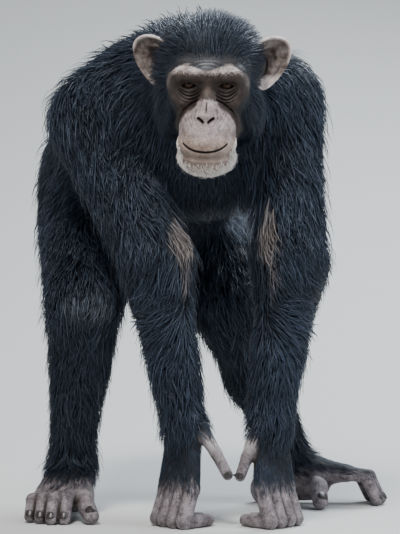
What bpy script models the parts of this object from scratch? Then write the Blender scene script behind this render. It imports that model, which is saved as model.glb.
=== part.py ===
"""A chimpanzee at life size, standing on its knuckles and feet with its back arched.

The flesh is a distance field of tapered limbs and egg shapes that run softly into one another,
each with the depth of the coat that covers it. Its zero surface is meshed, thinned, sawn into
named pieces by 0.3 mm cuts at the joints, and dressed in flat tapered locks.
Metres, +Z up; the animal faces -Y, and its left side is at +X.
"""

import itertools
import math

import bpy
import numpy as np
from mathutils import Matrix, Vector

MM = 0.001
SAW = 0.3 * MM
FAR = 1.0

# The skeleton. "r" is the animal's right side, at -X.
JOINTS = {
    "skull": (0.004, -0.045, 0.660),
    "nape": (-0.006, 0.060, 0.656),
    "withers": (-0.056, 0.150, 0.630),
    "shoulder_r": (-0.155, 0.105, 0.603),
    "elbow_r": (-0.064, -0.005, 0.389),
    "wrist_r": (-0.024, -0.028, 0.150),
    "shoulder_l": (0.108, 0.078, 0.625),
    "elbow_l": (0.133, -0.005, 0.389),
    "wrist_l": (0.103, -0.028, 0.150),
    "hip_r": (-0.168, 0.322, 0.488),
    "knee_r": (-0.176, 0.100, 0.319),
    "ankle_r": (-0.197, 0.120, 0.066),
    "hip_l": (0.000, 0.365, 0.475),
    "knee_l": (0.049, 0.170, 0.305),
    "ankle_l": (0.142, 0.235, 0.064),
}
JOINTS = {name: np.array(place) for name, place in JOINTS.items()}

# The head's own frame: millimetres from the point between the eyes, x to the animal's left,
# y backwards, z up. It is turned by pitch, yaw and roll and set at NASION.
NASION = np.array((0.0106, -0.170, 0.645))
HEAD_PITCH, HEAD_YAW, HEAD_ROLL = math.radians(15), math.radians(-4), math.radians(1)

EYE = np.array((27.0, 13.0, 0.0))
EYE_RADIUS = 11.5

# Hands and feet
FINGER_GAP = 0.0178
DORSAL_TURN = math.radians(45)
TOE_GAP = 0.0165


def unit(vectors):
    vectors = np.asarray(vectors, float)
    return vectors / (np.linalg.norm(vectors, axis=-1, keepdims=True) + 1e-12)


def turn_z(angle):
    c, s = math.cos(angle), math.sin(angle)
    return np.array(((c, -s, 0), (s, c, 0), (0, 0, 1)))


def turn_x(angle):
    c, s = math.cos(angle), math.sin(angle)
    return np.array(((1, 0, 0), (0, c, -s), (0, s, c)))


def turn_y(angle):
    c, s = math.cos(angle), math.sin(angle)
    return np.array(((c, 0, s), (0, 1, 0), (-s, 0, c)))


HEAD_TURN = turn_z(HEAD_YAW) @ turn_x(HEAD_PITCH) @ turn_y(HEAD_ROLL)


def to_head(points):
    """World metres to the head's millimetres."""
    return (points - NASION) @ HEAD_TURN / MM


def from_head(points):
    return np.asarray(points, float) * MM @ HEAD_TURN.T + NASION


def smooth(low, high, value):
    """0 below low, 1 above high, an S between."""
    t = np.clip((value - low) / (high - low), 0, 1)
    return t * t * (3 - 2 * t)


def soft_min(a, b, blend):
    h = np.clip(0.5 + 0.5 * (b - a) / blend, 0, 1)
    return b + (a - b) * h - blend * h * (1 - h)


def soft_max(a, b, blend):
    return -soft_min(-a, -b, blend)


def cone_distance(points, start, end, r_start, r_end, bulge=0.0):
    """Distance to a tapered limb: the nearest point of its axis, less the radius there."""
    start, end = np.asarray(start, float), np.asarray(end, float)
    axis = end - start
    t = np.clip((points - start) @ axis / (axis @ axis), 0, 1)
    off = points - start - t[:, None] * axis
    radius = r_start + (r_end - r_start) * t + bulge * np.sin(math.pi * t)
    return np.sqrt((off * off).sum(1)) - radius


def egg_distance(points, centre, radii, turn=None):
    """Distance to an egg shape, from its scaled radius k: k (k - 1) / |gradient of k|."""
    local = points - np.asarray(centre, float)
    if turn is not None:
        local = local @ turn
    radii = np.asarray(radii, float)
    k = np.sqrt(((local / radii) ** 2).sum(1)) + 1e-9
    g = np.sqrt(((local / radii**2) ** 2).sum(1)) + 1e-9
    return k * (k - 1) / g


class Form:
    """One shape of the body's field: a bounding ball, its distance, its blend and its coat.

    The lie is the way the coat runs over it: one direction, or one for each point.
    """

    def __init__(self, distance, middle, reach, blend, coat, lie):
        self.distance = distance
        self.middle = np.asarray(middle, float)
        self.reach = reach
        self.blend = blend
        self.coat = coat
        self.lie = lie if callable(lie) else lambda p: unit(lie)


def limb(start, end, r_start, r_end, blend=0.02, coat=0.0, bulge=0.0, lie=None):
    start, end = np.asarray(start, float), np.asarray(end, float)
    reach = np.linalg.norm(end - start) / 2 + max(r_start, r_end) + abs(bulge)
    return Form(
        lambda p: cone_distance(p, start, end, r_start, r_end, bulge),
        (start + end) / 2,
        reach,
        blend,
        coat,
        end - start if lie is None else lie,
    )


def egg(centre, radii, blend=0.03, coat=0.0, turn=None, lie=(0, 0.25, -0.9)):
    return Form(
        lambda p: egg_distance(p, centre, radii, turn),
        centre,
        max(radii),
        blend,
        coat,
        lie,
    )


def back_lie(points):
    """Down the sides and towards the rump, with the flanks falling straighter."""
    out = points[:, 0] + 0.055 + 0.25 * (points[:, 1] - 0.17)
    side = np.clip(out / 0.10, -1, 1)
    lie = np.stack([0.45 * side, 0.75 - 0.45 * np.abs(side), -0.35 - 0.5 * np.abs(side)], 1)
    return unit(lie)


def trunk_forms():
    j = JOINTS
    yaw = turn_z(math.radians(14))
    forms = [
        egg((-0.008, 0.085, 0.600), (0.128, 0.092, 0.095), 0.04, 0.016, yaw, back_lie),
        egg((-0.052, 0.175, 0.600), (0.120, 0.120, 0.123), 0.05, 0.022, yaw, back_lie),
        egg((-0.086, 0.265, 0.580), (0.122, 0.115, 0.119), 0.05, 0.020, yaw, back_lie),
        egg((-0.100, 0.345, 0.535), (0.122, 0.085, 0.105), 0.05, 0.018, yaw, back_lie),
        egg((0.014, 0.075, 0.540), (0.092, 0.078, 0.085), 0.04, 0.008, yaw),
        egg((-0.060, 0.240, 0.500), (0.108, 0.120, 0.092), 0.05, 0.010, yaw),
        limb(j["skull"], j["nape"], 0.066, 0.078, 0.04, 0.020, 0, (0, 0.8, -0.45)),
        limb(j["nape"], j["withers"], 0.074, 0.070, 0.04, 0.022, 0, (0, 0.9, -0.3)),
    ]
    for side in "rl":
        shoulder, elbow = j["shoulder_" + side], j["elbow_" + side]
        inner = j["nape"] * 0.75 + shoulder * 0.25
        lie = unit(elbow - shoulder) + (0, 0.35, 0)
        forms.append(limb(inner, shoulder, 0.070, 0.056, 0.04, 0.022, 0, lie))
    return forms


def forearm_lie(side):
    """From the wrist's third up and out to the elbow, and from there down to the hand."""
    elbow, wrist = JOINTS["elbow_" + side], JOINTS["wrist_" + side]
    s = 1 if side == "l" else -1
    down = unit(wrist - elbow)
    up = unit(-0.15 * down + np.array((0.75 * s, 0.45, -0.35)))

    def lie(points):
        t = (points - elbow) @ down / np.linalg.norm(wrist - elbow)
        share = smooth(0.25, 0.65, t)[:, None]
        return unit(up * (1 - share) + down * share)

    return lie


def arm_forms(side):
    j = JOINTS
    shoulder, elbow, wrist = (j[n + side] for n in ("shoulder_", "elbow_", "wrist_"))
    carpus = wrist + np.array((0, 0, -0.022))
    s = 1 if side == "l" else -1
    down = unit(elbow - shoulder) + (0.12 * s, 0.15, 0)
    return [
        limb(shoulder, elbow, 0.052, 0.039, 0.035, 0.020, 0.002, down),
        limb(elbow, wrist, 0.038, 0.0215, 0.02, 0.014, 0.003, forearm_lie(side)),
        limb(wrist, carpus, 0.0210, 0.0225, 0.015, 0.006),
    ]


def leg_forms(side):
    j = JOINTS
    hip, knee, ankle = (j[n + side] for n in ("hip_", "knee_", "ankle_"))
    calf = knee * 0.72 + ankle * 0.28 + np.array((0, 0.012, 0))
    thigh_lie = unit(knee - hip) + (0, 0.25, -0.55)
    shin_lie = unit(ankle - knee) + (0, 0.12, 0)
    return [
        limb(hip, knee, 0.074, 0.043, 0.05, 0.018, 0.006, thigh_lie),
        limb(knee, ankle, 0.039, 0.026, 0.02, 0.012, 0, shin_lie),
        egg(calf, (0.036, 0.038, 0.075), 0.02, 0.012, None, shin_lie),
    ]


def hand_frame(side):
    """Wrist, the way the back of the hand faces, and the way from first to last finger."""
    s = 1 if side == "l" else -1
    dorsal = np.array((s * math.sin(DORSAL_TURN), -math.cos(DORSAL_TURN), 0))
    across = np.array((s * math.cos(DORSAL_TURN), math.sin(DORSAL_TURN), 0))
    return JOINTS["wrist_" + side], dorsal, across


THUMBS = {
    "l": ((0.0830, -0.045, 0.138), (0.0690, -0.050, 0.104), (0.0590, -0.051, 0.076)),
    "r": ((0.0020, -0.045, 0.144), (0.0235, -0.050, 0.110), (0.0405, -0.051, 0.078)),
}


def finger_points(side, n):
    """Knuckle, bent joint on the ground, pad joint and tip of finger n, from 0 to 3."""
    wrist, dorsal, across = hand_frame(side)
    place = (n - 1.5) * FINGER_GAP
    spread = 1 + 0.05 * n
    long = (0.92, 1.0, 0.97, 0.84)[n]
    knuckle = wrist + across * place + dorsal * 0.010
    knuckle[2] = 0.058 - 0.002 * abs(n - 1.3)
    bent = knuckle + dorsal * 0.019 * long + across * place * 0.06 * spread
    bent[2] = 0.0108
    pad = bent - dorsal * 0.034 * long
    pad[2] = 0.0100
    tip = pad - dorsal * 0.020 * long
    tip[2] = 0.0092
    return knuckle, bent, pad, tip


def hand_forms(side):
    wrist, dorsal, across = hand_frame(side)
    forms = []
    for n in range(4):
        knuckle, bent, pad, tip = finger_points(side, n)
        root = wrist + across * (n - 1.5) * 0.010 + np.array((0, 0, -0.014))
        forms.append(limb(root, knuckle, 0.0150, 0.0125, 0.010, 0.001))
        forms.append(limb(knuckle, bent, 0.0118, 0.0116, 0.004))
        forms.append(limb(bent, pad, 0.0112, 0.0102, 0.004))
        forms.append(limb(pad, tip, 0.0100, 0.0092, 0.004))
    base, middle, tip = (np.array(p) for p in THUMBS[side])
    forms.append(limb(base, middle, 0.0110, 0.0088, 0.008, 0.001))
    forms.append(limb(middle, tip, 0.0088, 0.0078, 0.003))
    return forms


FEET = {  # the way the toes point, the way to the first toe, the first toe's reach
    "r": ((-0.20, -0.98, 0), (0.98, -0.20, 0), (0.126, 0.062)),
    "l": ((0.995, -0.10, 0), (-0.10, -0.995, 0), (0.052, 0.078)),
}


def foot_frame(side):
    along, inward, reach = FEET[side]
    along = np.array(along) / np.linalg.norm(along)
    inward = np.array(inward) / np.linalg.norm(inward)
    return JOINTS["ankle_" + side], along, inward, reach


def toe_points(side, n):
    """Root joint, bent joint and tip of toe n, from 0 beside the first toe to 3."""
    ankle, along, inward, _ = foot_frame(side)
    place = (1.5 - n) * TOE_GAP
    long = (0.97, 1.0, 0.93, 0.80)[n]
    root = ankle + along * (0.088 - 0.004 * abs(n - 1)) + inward * (place - 0.004)
    arch = 0.014 if side == "l" else 0
    root[2] = 0.036 - 0.002 * n + arch
    bent = root + along * 0.036 * long + inward * place * 0.12
    bent[2] = 0.038 - 0.002 * n + arch * 0.6
    tip = bent + along * 0.018 * long
    tip[2] = 0.0094
    return root, bent, tip


def hallux_points(side):
    ankle, along, inward, reach = foot_frame(side)
    root = ankle + along * 0.030 + inward * 0.014
    root[2] = 0.036
    tip = ankle + along * reach[0] + inward * reach[1]
    tip[2] = 0.0125
    middle = root * 0.42 + tip * 0.58 + along * 0.004
    middle[2] = 0.031
    return root, middle, tip


def foot_forms(side):
    ankle, along, inward, _ = foot_frame(side)
    heel = ankle - along * 0.036
    heel[2] = 0.0235
    forms = [
        limb(ankle, heel, 0.027, 0.024, 0.02, 0.006),
        limb(heel * (1, 1, 0) + (0, 0, 0.020), ankle + along * 0.04 - (0, 0, 0.036), 0.020, 0.022, 0.02),
    ]
    for n in range(4):
        root, bent, tip = toe_points(side, n)
        hind = ankle + inward * (1.5 - n) * 0.009 + along * 0.014
        hind[2] = 0.052
        forms.append(limb(hind, root, 0.021, 0.0125, 0.014, 0.001))
        forms.append(limb(root, bent, 0.0112, 0.0105, 0.006))
        forms.append(limb(bent, tip, 0.0100, 0.0092, 0.004))
    root, middle, tip = hallux_points(side)
    forms.append(limb(ankle - (0, 0, 0.012), root, 0.024, 0.020, 0.02, 0.002))
    forms.append(limb(root, middle, 0.019, 0.0145, 0.010))
    forms.append(limb(middle, tip, 0.0145, 0.0122, 0.005))
    return forms


def head_distance(points):
    """The bare head in its own frame, in millimetres: skull, face and muzzle, then the cuts."""
    p = points.copy()
    p[:, 0] = np.abs(p[:, 0])
    x, y, z = p.T
    d = egg_distance(p, (0, 90, 22), (63, 76, 57))
    d = soft_min(d, egg_distance(p, (0, 30, 18), (44, 32, 22)), 14)
    d = soft_min(d, egg_distance(p, (0, 40, -14), (56, 38, 56)), 14)
    d = soft_min(d, egg_distance(p, (40, 54, -40), (24, 36, 42)), 14)
    d = soft_min(d, egg_distance(p, (40, 18, -16), (17, 17, 26)), 14)
    d = soft_min(d, egg_distance(p, (0, 6, -60), (41, 58, 31)), 12)
    d = soft_min(d, egg_distance(p, (0, -20, -77), (41, 45, 26)), 8)
    d = soft_min(d, egg_distance(p, (0, -14, -98), (38, 43, 23)), 6)
    d = soft_min(d, egg_distance(p, (0, -24, -95), (34, 37, 9)), 7)
    d = soft_min(d, egg_distance(p, (0, 40, -80), (40, 44, 34)), 16)
    brow = cone_distance(p, (0, 4, 14), (22, -4, 18), 10.5, 12.5)
    brow = soft_min(brow, cone_distance(p, (22, -4, 18), (41, 2, 16), 12.5, 12), 3)
    brow = soft_min(brow, cone_distance(p, (41, 2, 16), (49, 17, -5), 12, 9), 4)
    d = soft_min(d, egg_distance(p, (40, 26, 12), (20, 24, 24)), 12)
    d = soft_min(d, brow, 8)
    d = soft_max(d, -egg_distance(p, (26, -9, -3), (14, 15, 10)), 6)
    d = soft_min(d, egg_distance(p, EYE, (15.5, 13.2, 13.5)), 5)
    d = soft_min(d, cone_distance(p, (0, 13, -2), (0, -12, -30), 10, 13), 14)
    d = soft_min(d, egg_distance(p, (0, -31, -38), (10, 8, 8)), 6)
    d = soft_min(d, egg_distance(p, (12, -27, -39), (7.5, 8, 6.5)), 5)
    nostril = cone_distance(p, (4.0, -42, -43), (12.5, -35, -37), 2.2, 1.7)
    d = soft_max(d, -nostril, 1.5)
    opening = np.maximum(np.abs(z + 0.3) - (4.4 - 0.040 * (x - EYE[0]) ** 2), y - 8)
    opening = np.maximum(opening, np.abs(x - EYE[0]) - 11)
    d = soft_max(d, -opening, 1.2)
    mouth_z = -84.5 + 0.010 * x * x
    mouth_y = -63 + 0.020 * x * x
    groove = np.sqrt((z - mouth_z) ** 2 + (0.4 * (y - mouth_y)) ** 2) - 1.7
    groove = np.maximum(groove, x - 35)
    return soft_max(d, -groove, 1.6)


def face_edge(points):
    """How far a point is outside the outline of the naked face, in millimetres.

    From in front the outline is a wide oval over the eyes run into a narrower one over the
    muzzle; it is cut off behind the cheeks.
    """
    flat = points * (1, 0, 1)
    edge = egg_distance(flat, (0, 0, -2), (61, 1, 34))
    edge = soft_min(edge, egg_distance(flat, (0, 0, -66), (49, 1, 54)), 20)
    behind = points[:, 1] - 16 - 18 * smooth(-10, -45, points[:, 2])
    return soft_max(edge, behind, 8)


def head_coat(points):
    """The coat's depth over the head, in millimetres, growing from the edge of the face."""
    x, y, z = np.abs(points[:, 0]), points[:, 1], points[:, 2]
    full = 9 + 5 * smooth(0, 60, y) + 6 * smooth(20, 60, x)
    full = full + 8 * smooth(0, -50, z) * smooth(-112, -75, z) * smooth(20, 50, x)
    depth = full * smooth(0, 18, face_edge(points)) * smooth(-12, 20, y)
    chin = 9 * smooth(-104, -116, z)
    return np.maximum(depth, chin)


def head_lie(points):
    """Back over the crown from the brow, down and back on the cheeks, forward under the chin."""
    x, y, z = points.T
    low = smooth(10, -30, z)
    side = np.sign(x) * smooth(15, 45, np.abs(x))
    crown = np.stack([0.35 * side, 0.9 + 0 * x, 0.45 * smooth(40, 0, y) - 0.1], 1)
    cheek = np.stack([0.30 * side, 0.35 + 0 * x, -0.9 + 0 * x], 1)
    lie = crown * (1 - low)[:, None] + cheek * low[:, None]
    chin = smooth(-100, -112, z) * smooth(20, -10, y)
    lie = lie * (1 - chin)[:, None] + np.array((0, -0.45, -0.9)) * chin[:, None]
    return unit(lie) @ HEAD_TURN.T


def body_field(forms, points, lie=None):
    """Distance to the bare body and depth of the coat there, in metres; fills in its lie."""
    d = np.full(len(points), FAR)
    coat = np.zeros(len(points))
    for form in forms:
        other = form.distance(points)
        h = np.clip(0.5 + 0.5 * (d - other) / form.blend, 0, 1)
        d = d + (other - d) * h - form.blend * h * (1 - h)
        coat = coat + (form.coat - coat) * h
        if lie is not None:
            lie += (form.lie(points) - lie) * h[:, None]
    return d, coat


def with_head(d, coat, points, lie=None):
    local = to_head(points)
    head = head_distance(local) * MM
    h = np.clip(0.5 + 0.5 * (d - head) / 0.022, 0, 1)
    coat = coat + (head_coat(local) * MM - coat) * h
    if lie is not None:
        lie += (head_lie(local) - lie) * h[:, None]
    return d + (head - d) * h - 0.022 * h * (1 - h), coat


class Body:
    """All the forms, with the head, ready to be asked for any points."""

    def __init__(self):
        self.forms = trunk_forms()
        for side in "rl":
            self.forms += arm_forms(side) + hand_forms(side)
            self.forms += leg_forms(side) + foot_forms(side)
        self.head_middle = from_head((0, 50, -10))
        self.head_reach = 0.145

    def near(self, middle, reach):
        """The forms that can matter within reach of middle."""
        found = [
            f
            for f in self.forms
            if np.linalg.norm(f.middle - middle) < f.reach + reach + f.blend + 0.03
        ]
        headed = np.linalg.norm(self.head_middle - middle) < self.head_reach + reach
        return found, headed

    def bare(self, points, near=None, lie=None):
        found, headed = near or (self.forms, True)
        d, coat = body_field(found, points, lie)
        if headed:
            d, coat = with_head(d, coat, points, lie)
        return d, coat

    def core(self, points, near=None):
        """Distance to the coat's core, laid flat on the ground where it rests.

        The core is half the coat's depth, but all of it where the coat is short.
        """
        d, coat = self.bare(points, near)
        ground = smooth(0.0, 0.05, points[:, 2])
        return d - np.maximum(coat / 2, np.minimum(coat, SHORT_COAT)) * ground

    def over(self, points, step=0.5 * MM):
        """Distance, coat's depth and outward direction at scattered points."""
        d, coat = self.bare(points)
        slope = [self.bare(points + step * axis)[0] - d for axis in np.eye(3)]
        return d, coat, unit(np.stack(slope, 1))


# Six tetrahedra fill a cube: each is a walk from one corner to the far one, axis by axis.
STEPS = np.eye(3, dtype=int)
TETRAHEDRA = [
    np.array([(0, 0, 0), STEPS[a], STEPS[a] + STEPS[b], (1, 1, 1)])
    for a, b, _ in itertools.permutations(range(3))
]


def zero_surface(field, near, low, high, step, block=20):
    """Points and triangles of field's zero level, by marching the tetrahedra of a grid.

    The grid is walked in blocks, and a block far from the surface is left out.
    """
    low = np.asarray(low, float)
    size = np.ceil((np.asarray(high) - low) / step).astype(int) + 1
    places, keys = [], []
    for first in itertools.product(*(range(0, int(n), block) for n in size)):
        first = np.array(first)
        middle = low + (first + block / 2) * step
        reach = block * step * math.sqrt(3) / 2
        found = near(middle, reach)
        if not found[0] and not found[1]:
            continue
        at_middle = field(middle[None], found)[0]
        if abs(at_middle) > 1.6 * reach + 0.03:
            continue
        index = np.stack(np.meshgrid(*[np.arange(block + 1)] * 3, indexing="ij"), -1)
        grid = index.reshape(-1, 3) + first
        value = field(low + grid * step, found)
        value[value == 0] = 1e-9
        value = value.reshape((block + 1,) * 3)
        cells = np.stack(np.meshgrid(*[np.arange(block)] * 3, indexing="ij"), -1)
        cells = cells.reshape(-1, 3)
        corner = [value[tuple((cells + s).T)] for s in itertools.product((0, 1), repeat=3)]
        inside = sum((c < 0).astype(int) for c in corner)
        cells = cells[(inside > 0) & (inside < 8)]
        if not len(cells):
            continue
        for walk in TETRAHEDRA:
            ends = cells[:, None, :] + walk[None]
            worth = value[tuple(ends.reshape(-1, 3).T)].reshape(-1, 4)
            places_here, keys_here = tetra_faces(ends + first, worth)
            places.append(places_here)
            keys.append(keys_here)
    places, keys = np.concatenate(places), np.concatenate(keys)
    _, kept, index = np.unique(keys.reshape(-1, 6), axis=0, return_index=True, return_inverse=True)
    points = low + places.reshape(-1, 3)[kept] * step
    return points, index.reshape(-1, 3)


def tetra_faces(ends, worth):
    """The triangles that cut tetrahedra, as places on their edges and keys of those edges."""
    below = worth < 0
    count = below.sum(1)
    places, keys = [], []

    def edge(rows, a, b):
        """The zero point between corners a and b of those rows, and a key for the edge."""
        pa, pb = ends[rows, a], ends[rows, b]
        va, vb = worth[rows, a], worth[rows, b]
        t = va / (va - vb)
        t = np.clip(t, 0.002, 0.998)
        place = pa + t[:, None] * (pb - pa)
        swap = (pa * (4000 * 4000, 4000, 1)).sum(1) > (pb * (4000 * 4000, 4000, 1)).sum(1)
        key = np.where(swap[:, None], np.hstack([pb, pa]), np.hstack([pa, pb]))
        place = np.where(swap[:, None], pb + (1 - t)[:, None] * (pa - pb), place)
        return place, key

    def add(rows, edges, outward):
        found = [edge(rows, a, b) for a, b in edges]
        place = np.stack([f[0] for f in found], 1)
        key = np.stack([f[1] for f in found], 1)
        normal = np.cross(place[:, 1] - place[:, 0], place[:, 2] - place[:, 0])
        wrong = (normal * outward).sum(1) < 0
        place[wrong] = place[wrong][:, ::-1]
        key[wrong] = key[wrong][:, ::-1]
        places.append(place)
        keys.append(key)

    for lone in range(4):
        others = [n for n in range(4) if n != lone]
        for sign, total in ((1, 1), (-1, 3)):
            rows = np.flatnonzero((count == total) & (below[:, lone] == (total == 1)))
            if len(rows):
                outward = sign * (ends[rows][:, others].mean(1) - ends[rows, lone])
                add(rows, [(lone, n) for n in others], outward)
    for i, j in itertools.combinations(range(4), 2):
        a, b = (n for n in range(4) if n not in (i, j))
        rows = np.flatnonzero((count == 2) & below[:, i] & below[:, j])
        if len(rows):
            outward = ends[rows][:, [a, b]].mean(1) - ends[rows][:, [i, j]].mean(1)
            add(rows, [(i, a), (i, b), (j, b)], outward)
            add(rows, [(i, a), (j, b), (j, a)], outward)
    if not places:
        return np.empty((0, 3, 3)), np.empty((0, 3, 6), int)
    return np.concatenate(places), np.concatenate(keys)


def mesh_object(name, points, faces):
    mesh = bpy.data.meshes.new(name)
    mesh.from_pydata(np.asarray(points).tolist(), [], np.asarray(faces).tolist())
    mesh.update()
    thing = bpy.data.objects.new(name, mesh)
    bpy.context.scene.collection.objects.link(thing)
    return thing


def arrays(thing):
    """An object's points, and its faces split into triangles."""
    mesh = thing.data
    points = np.empty(len(mesh.vertices) * 3)
    mesh.vertices.foreach_get("co", points)
    mesh.calc_loop_triangles()
    faces = np.empty(len(mesh.loop_triangles) * 3, int)
    mesh.loop_triangles.foreach_get("vertices", faces)
    return points.reshape(-1, 3), faces.reshape(-1, 3)


def remove(thing):
    mesh = thing.data
    bpy.data.objects.remove(thing)
    bpy.data.meshes.remove(mesh)


def with_modifier(thing, kind, **settings):
    """The object with one modifier applied to its mesh."""
    modifier = thing.modifiers.new(kind, kind)
    for name, value in settings.items():
        setattr(modifier, name, value)
    graph = bpy.context.evaluated_depsgraph_get()
    mesh = bpy.data.meshes.new_from_object(thing.evaluated_get(graph))
    thing.modifiers.clear()
    old = thing.data
    thing.data = mesh
    bpy.data.meshes.remove(old)
    return thing


def cut_by(thing, cutter, solver="EXACT"):
    with_modifier(thing, "BOOLEAN", object=cutter, operation="DIFFERENCE", solver=solver)
    remove(cutter)


def loose_parts(faces):
    """The label of the closed surface that each triangle belongs to, joined edge to edge.

    An edge where more than two triangles meet joins none of them, so a flat scrap falls off.
    """
    pairs = np.sort(faces[:, [0, 1, 1, 2, 2, 0]].reshape(-1, 2), 1)
    _, edge, count = np.unique(pairs, axis=0, return_inverse=True, return_counts=True)
    edge = edge.reshape(-1, 3)
    joins = count[edge] == 2
    label = np.arange(len(faces))
    while True:
        low = np.full(len(count), len(faces))
        np.minimum.at(low, edge[joins], np.repeat(label, 3).reshape(-1, 3)[joins])
        new = np.minimum(np.where(joins, low[edge], len(faces)).min(1), label)
        new = new[new]
        if (new == label).all():
            return label
        label = new


def kept_part(points, faces, chosen):
    """Only the chosen triangles, with the points that they use."""
    faces = faces[chosen]
    used, index = np.unique(faces, return_inverse=True)
    return points[used], index.reshape(-1, 3)


def volume(points, faces):
    a, b, c = (points[faces[:, n]] for n in range(3))
    return np.einsum("ij,ij->i", a, np.cross(b, c)).sum() / 6


def largest_part(thing):
    """Only the largest closed surface, which drops sealed hollows and scraps."""
    points, faces = arrays(thing)
    labels = loose_parts(faces)
    sizes = {n: abs(volume(points, faces[labels == n])) for n in np.unique(labels)}
    best = max(sizes, key=sizes.get)
    name = thing.name
    remove(thing)
    return mesh_object(name, *kept_part(points, faces, labels == best))


def thinned(thing, target, keep=None):
    """The mesh brought down to about target triangles, with more of them where keep is high."""
    count = len(thing.data.polygons)
    if keep is not None:
        points, _ = arrays(thing)
        group = thing.vertex_groups.new(name="keep")
        weight = np.round(1 - keep(points), 1)
        for value in np.unique(weight):
            group.add(np.flatnonzero(weight == value).tolist(), float(value), "REPLACE")
        with_modifier(
            thing, "DECIMATE", ratio=target / count, vertex_group="keep", vertex_group_factor=1.0
        )
        thing.vertex_groups.clear()
        return thing
    return with_modifier(thing, "DECIMATE", ratio=target / count)


def turned(profile, middle, facing, sides=20):
    """A closed solid of revolution: (radius, height) points, first and last on the axis."""
    turns = np.arange(sides) * 2 * math.pi / sides
    ring = np.stack([np.cos(turns), np.sin(turns)], 1)
    turn = np.array(Vector(facing).to_track_quat("Z", "Y").to_matrix())
    points, rows = [], []
    for radius, height in profile:
        if radius == 0:
            rows.append([len(points)] * sides)
            points.append((0, 0, height))
        else:
            rows.append(list(range(len(points), len(points) + sides)))
            points += [(radius * c, radius * s, height) for c, s in ring]
    faces = []
    for low, high in zip(rows[:-1], rows[1:]):
        for n in range(sides):
            m = (n + 1) % sides
            face = (low[n], low[m], high[m], high[n])
            faces.append(tuple(dict.fromkeys(face)))
    points = np.array(points) @ turn.T + middle
    return points, faces


def saw_cuts(rows):
    """The saw's cuts as one mesh: thin discs, and thin cups that free a limb from the trunk."""
    points, faces = [], []
    for middle, facing, radius, *cup in rows:
        profile = [(0, -SAW / 2), (radius, -SAW / 2), (radius, SAW / 2), (0, SAW / 2)]
        if cup:
            depth, mouth = cup
            profile[2:2] = [(mouth + SAW, depth), (mouth, depth)]
            profile[1] = (radius + SAW, -SAW / 2)
        some, sides = turned(profile, middle, facing)
        faces += [tuple(n + len(points) for n in face) for face in sides]
        points += some.tolist()
    mesh = bpy.data.meshes.new("saw")
    mesh.from_pydata(points, [], faces)
    saw = bpy.data.objects.new("saw", mesh)
    bpy.context.scene.collection.objects.link(saw)
    return saw


def between(a, b, t):
    return JOINTS[a] * (1 - t) + JOINTS[b] * t


def cuts():
    """Where the saw parts the body: a middle, a facing and a radius for each joint.

    At shoulder and hip the cut is a cup about the limb, with a depth and a radius at its mouth.
    """
    j = JOINTS
    rows = {"head": (np.array((-0.003, -0.033, 0.666)), (0, -0.95, 0.30), 0.136)}
    rows["neck"] = (np.array((-0.003, -0.007, 0.658)), (0, -0.911, 0.414), 0.118)
    for s in "rl":
        shoulder, elbow, wrist = (j[n + s] for n in ("shoulder_", "elbow_", "wrist_"))
        hip, knee, ankle = (j[n + s] for n in ("hip_", "knee_", "ankle_"))
        upper, thigh = elbow - shoulder, knee - hip
        deep_arm, deep_leg = 0.89 * np.linalg.norm(upper), 0.53 * np.linalg.norm(thigh)
        rows["shoulder_" + s] = (shoulder, upper, 0.092, deep_arm, 0.066)
        rows["elbow_" + s] = (elbow, wrist - shoulder, 0.062)
        rows["wrist_" + s] = (wrist + (0, 0, 0.014), (0, 0, -1), 0.046)
        rows["hip_" + s] = (hip + 0.22 * thigh, thigh, 0.091, deep_leg, 0.086)
        rows["knee_" + s] = (knee + (0, 0.004, 0), ankle - hip, 0.085)
        rows["ankle_" + s] = (ankle + (0, 0, 0.026), (0, 0, -1), 0.064)
    return rows


def seeds():
    """A point inside each piece of the sawn body."""
    found = {"head": from_head((0, 60, 0))}
    found["neck"] = np.array((-0.003, -0.016, 0.670))
    found["torso"] = np.array((-0.05, 0.22, 0.60))
    for side, s in (("right", "r"), ("left", "l")):
        found["upper_arm_" + side] = between("shoulder_" + s, "elbow_" + s, 0.75)
        found["forearm_" + side] = between("elbow_" + s, "wrist_" + s, 0.5)
        found["hand_" + side] = JOINTS["wrist_" + s] - (0, 0, 0.01)
        found["thigh_" + side] = between("hip_" + s, "knee_" + s, 0.8)
        found["shin_" + side] = between("knee_" + s, "ankle_" + s, 0.5)
        found["foot_" + side] = JOINTS["ankle_" + s] - (0, 0, 0.01)
    return found


def solid_of(field, near, low, high, step):
    """The closed surface of the field inside a box, flat on the ground."""
    low, high = np.asarray(low, float), np.asarray(high, float)

    def boxed(points, found):
        outside = np.maximum(low - points, points - high).max(1)
        return np.maximum(np.maximum(field(points, found), outside), -points[:, 2])

    return zero_surface(boxed, near, low - 1.37 * step, high + 1.61 * step, step)


def face_weight(points):
    """How much of the fine mesh the thinned head keeps: most round the eyes, nose and mouth."""
    local = to_head(points)
    front = smooth(30, 0, local[:, 1]) * smooth(-10, 8, -face_edge(local))
    return 0.15 + 0.75 * front


# The parts with fine forms: a box about each, the step of its grid and its triangles.
FINE = {
    "head": ((-0.14, -0.27, 0.48), (0.14, 0.075, 0.79), 0.0024, 2100),
    "hand_right": ((-0.09, -0.10, 0.0), (0.0497, 0.04, 0.19), 0.0022, 700),
    "hand_left": ((0.0503, -0.10, 0.0), (0.18, 0.04, 0.19), 0.0022, 700),
    "foot_right": ((-0.29, -0.07, 0.0), (-0.10, 0.22, 0.135), 0.0024, 740),
    "foot_left": ((0.05, 0.10, 0.0), (0.32, 0.31, 0.135), 0.0024, 740),
}


def flat_on_ground(thing):
    """Points that thinning left a little off the ground go back to it."""
    for vertex in thing.data.vertices:
        if vertex.co.z < 0.5 * MM:
            vertex.co.z = 0


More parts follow.
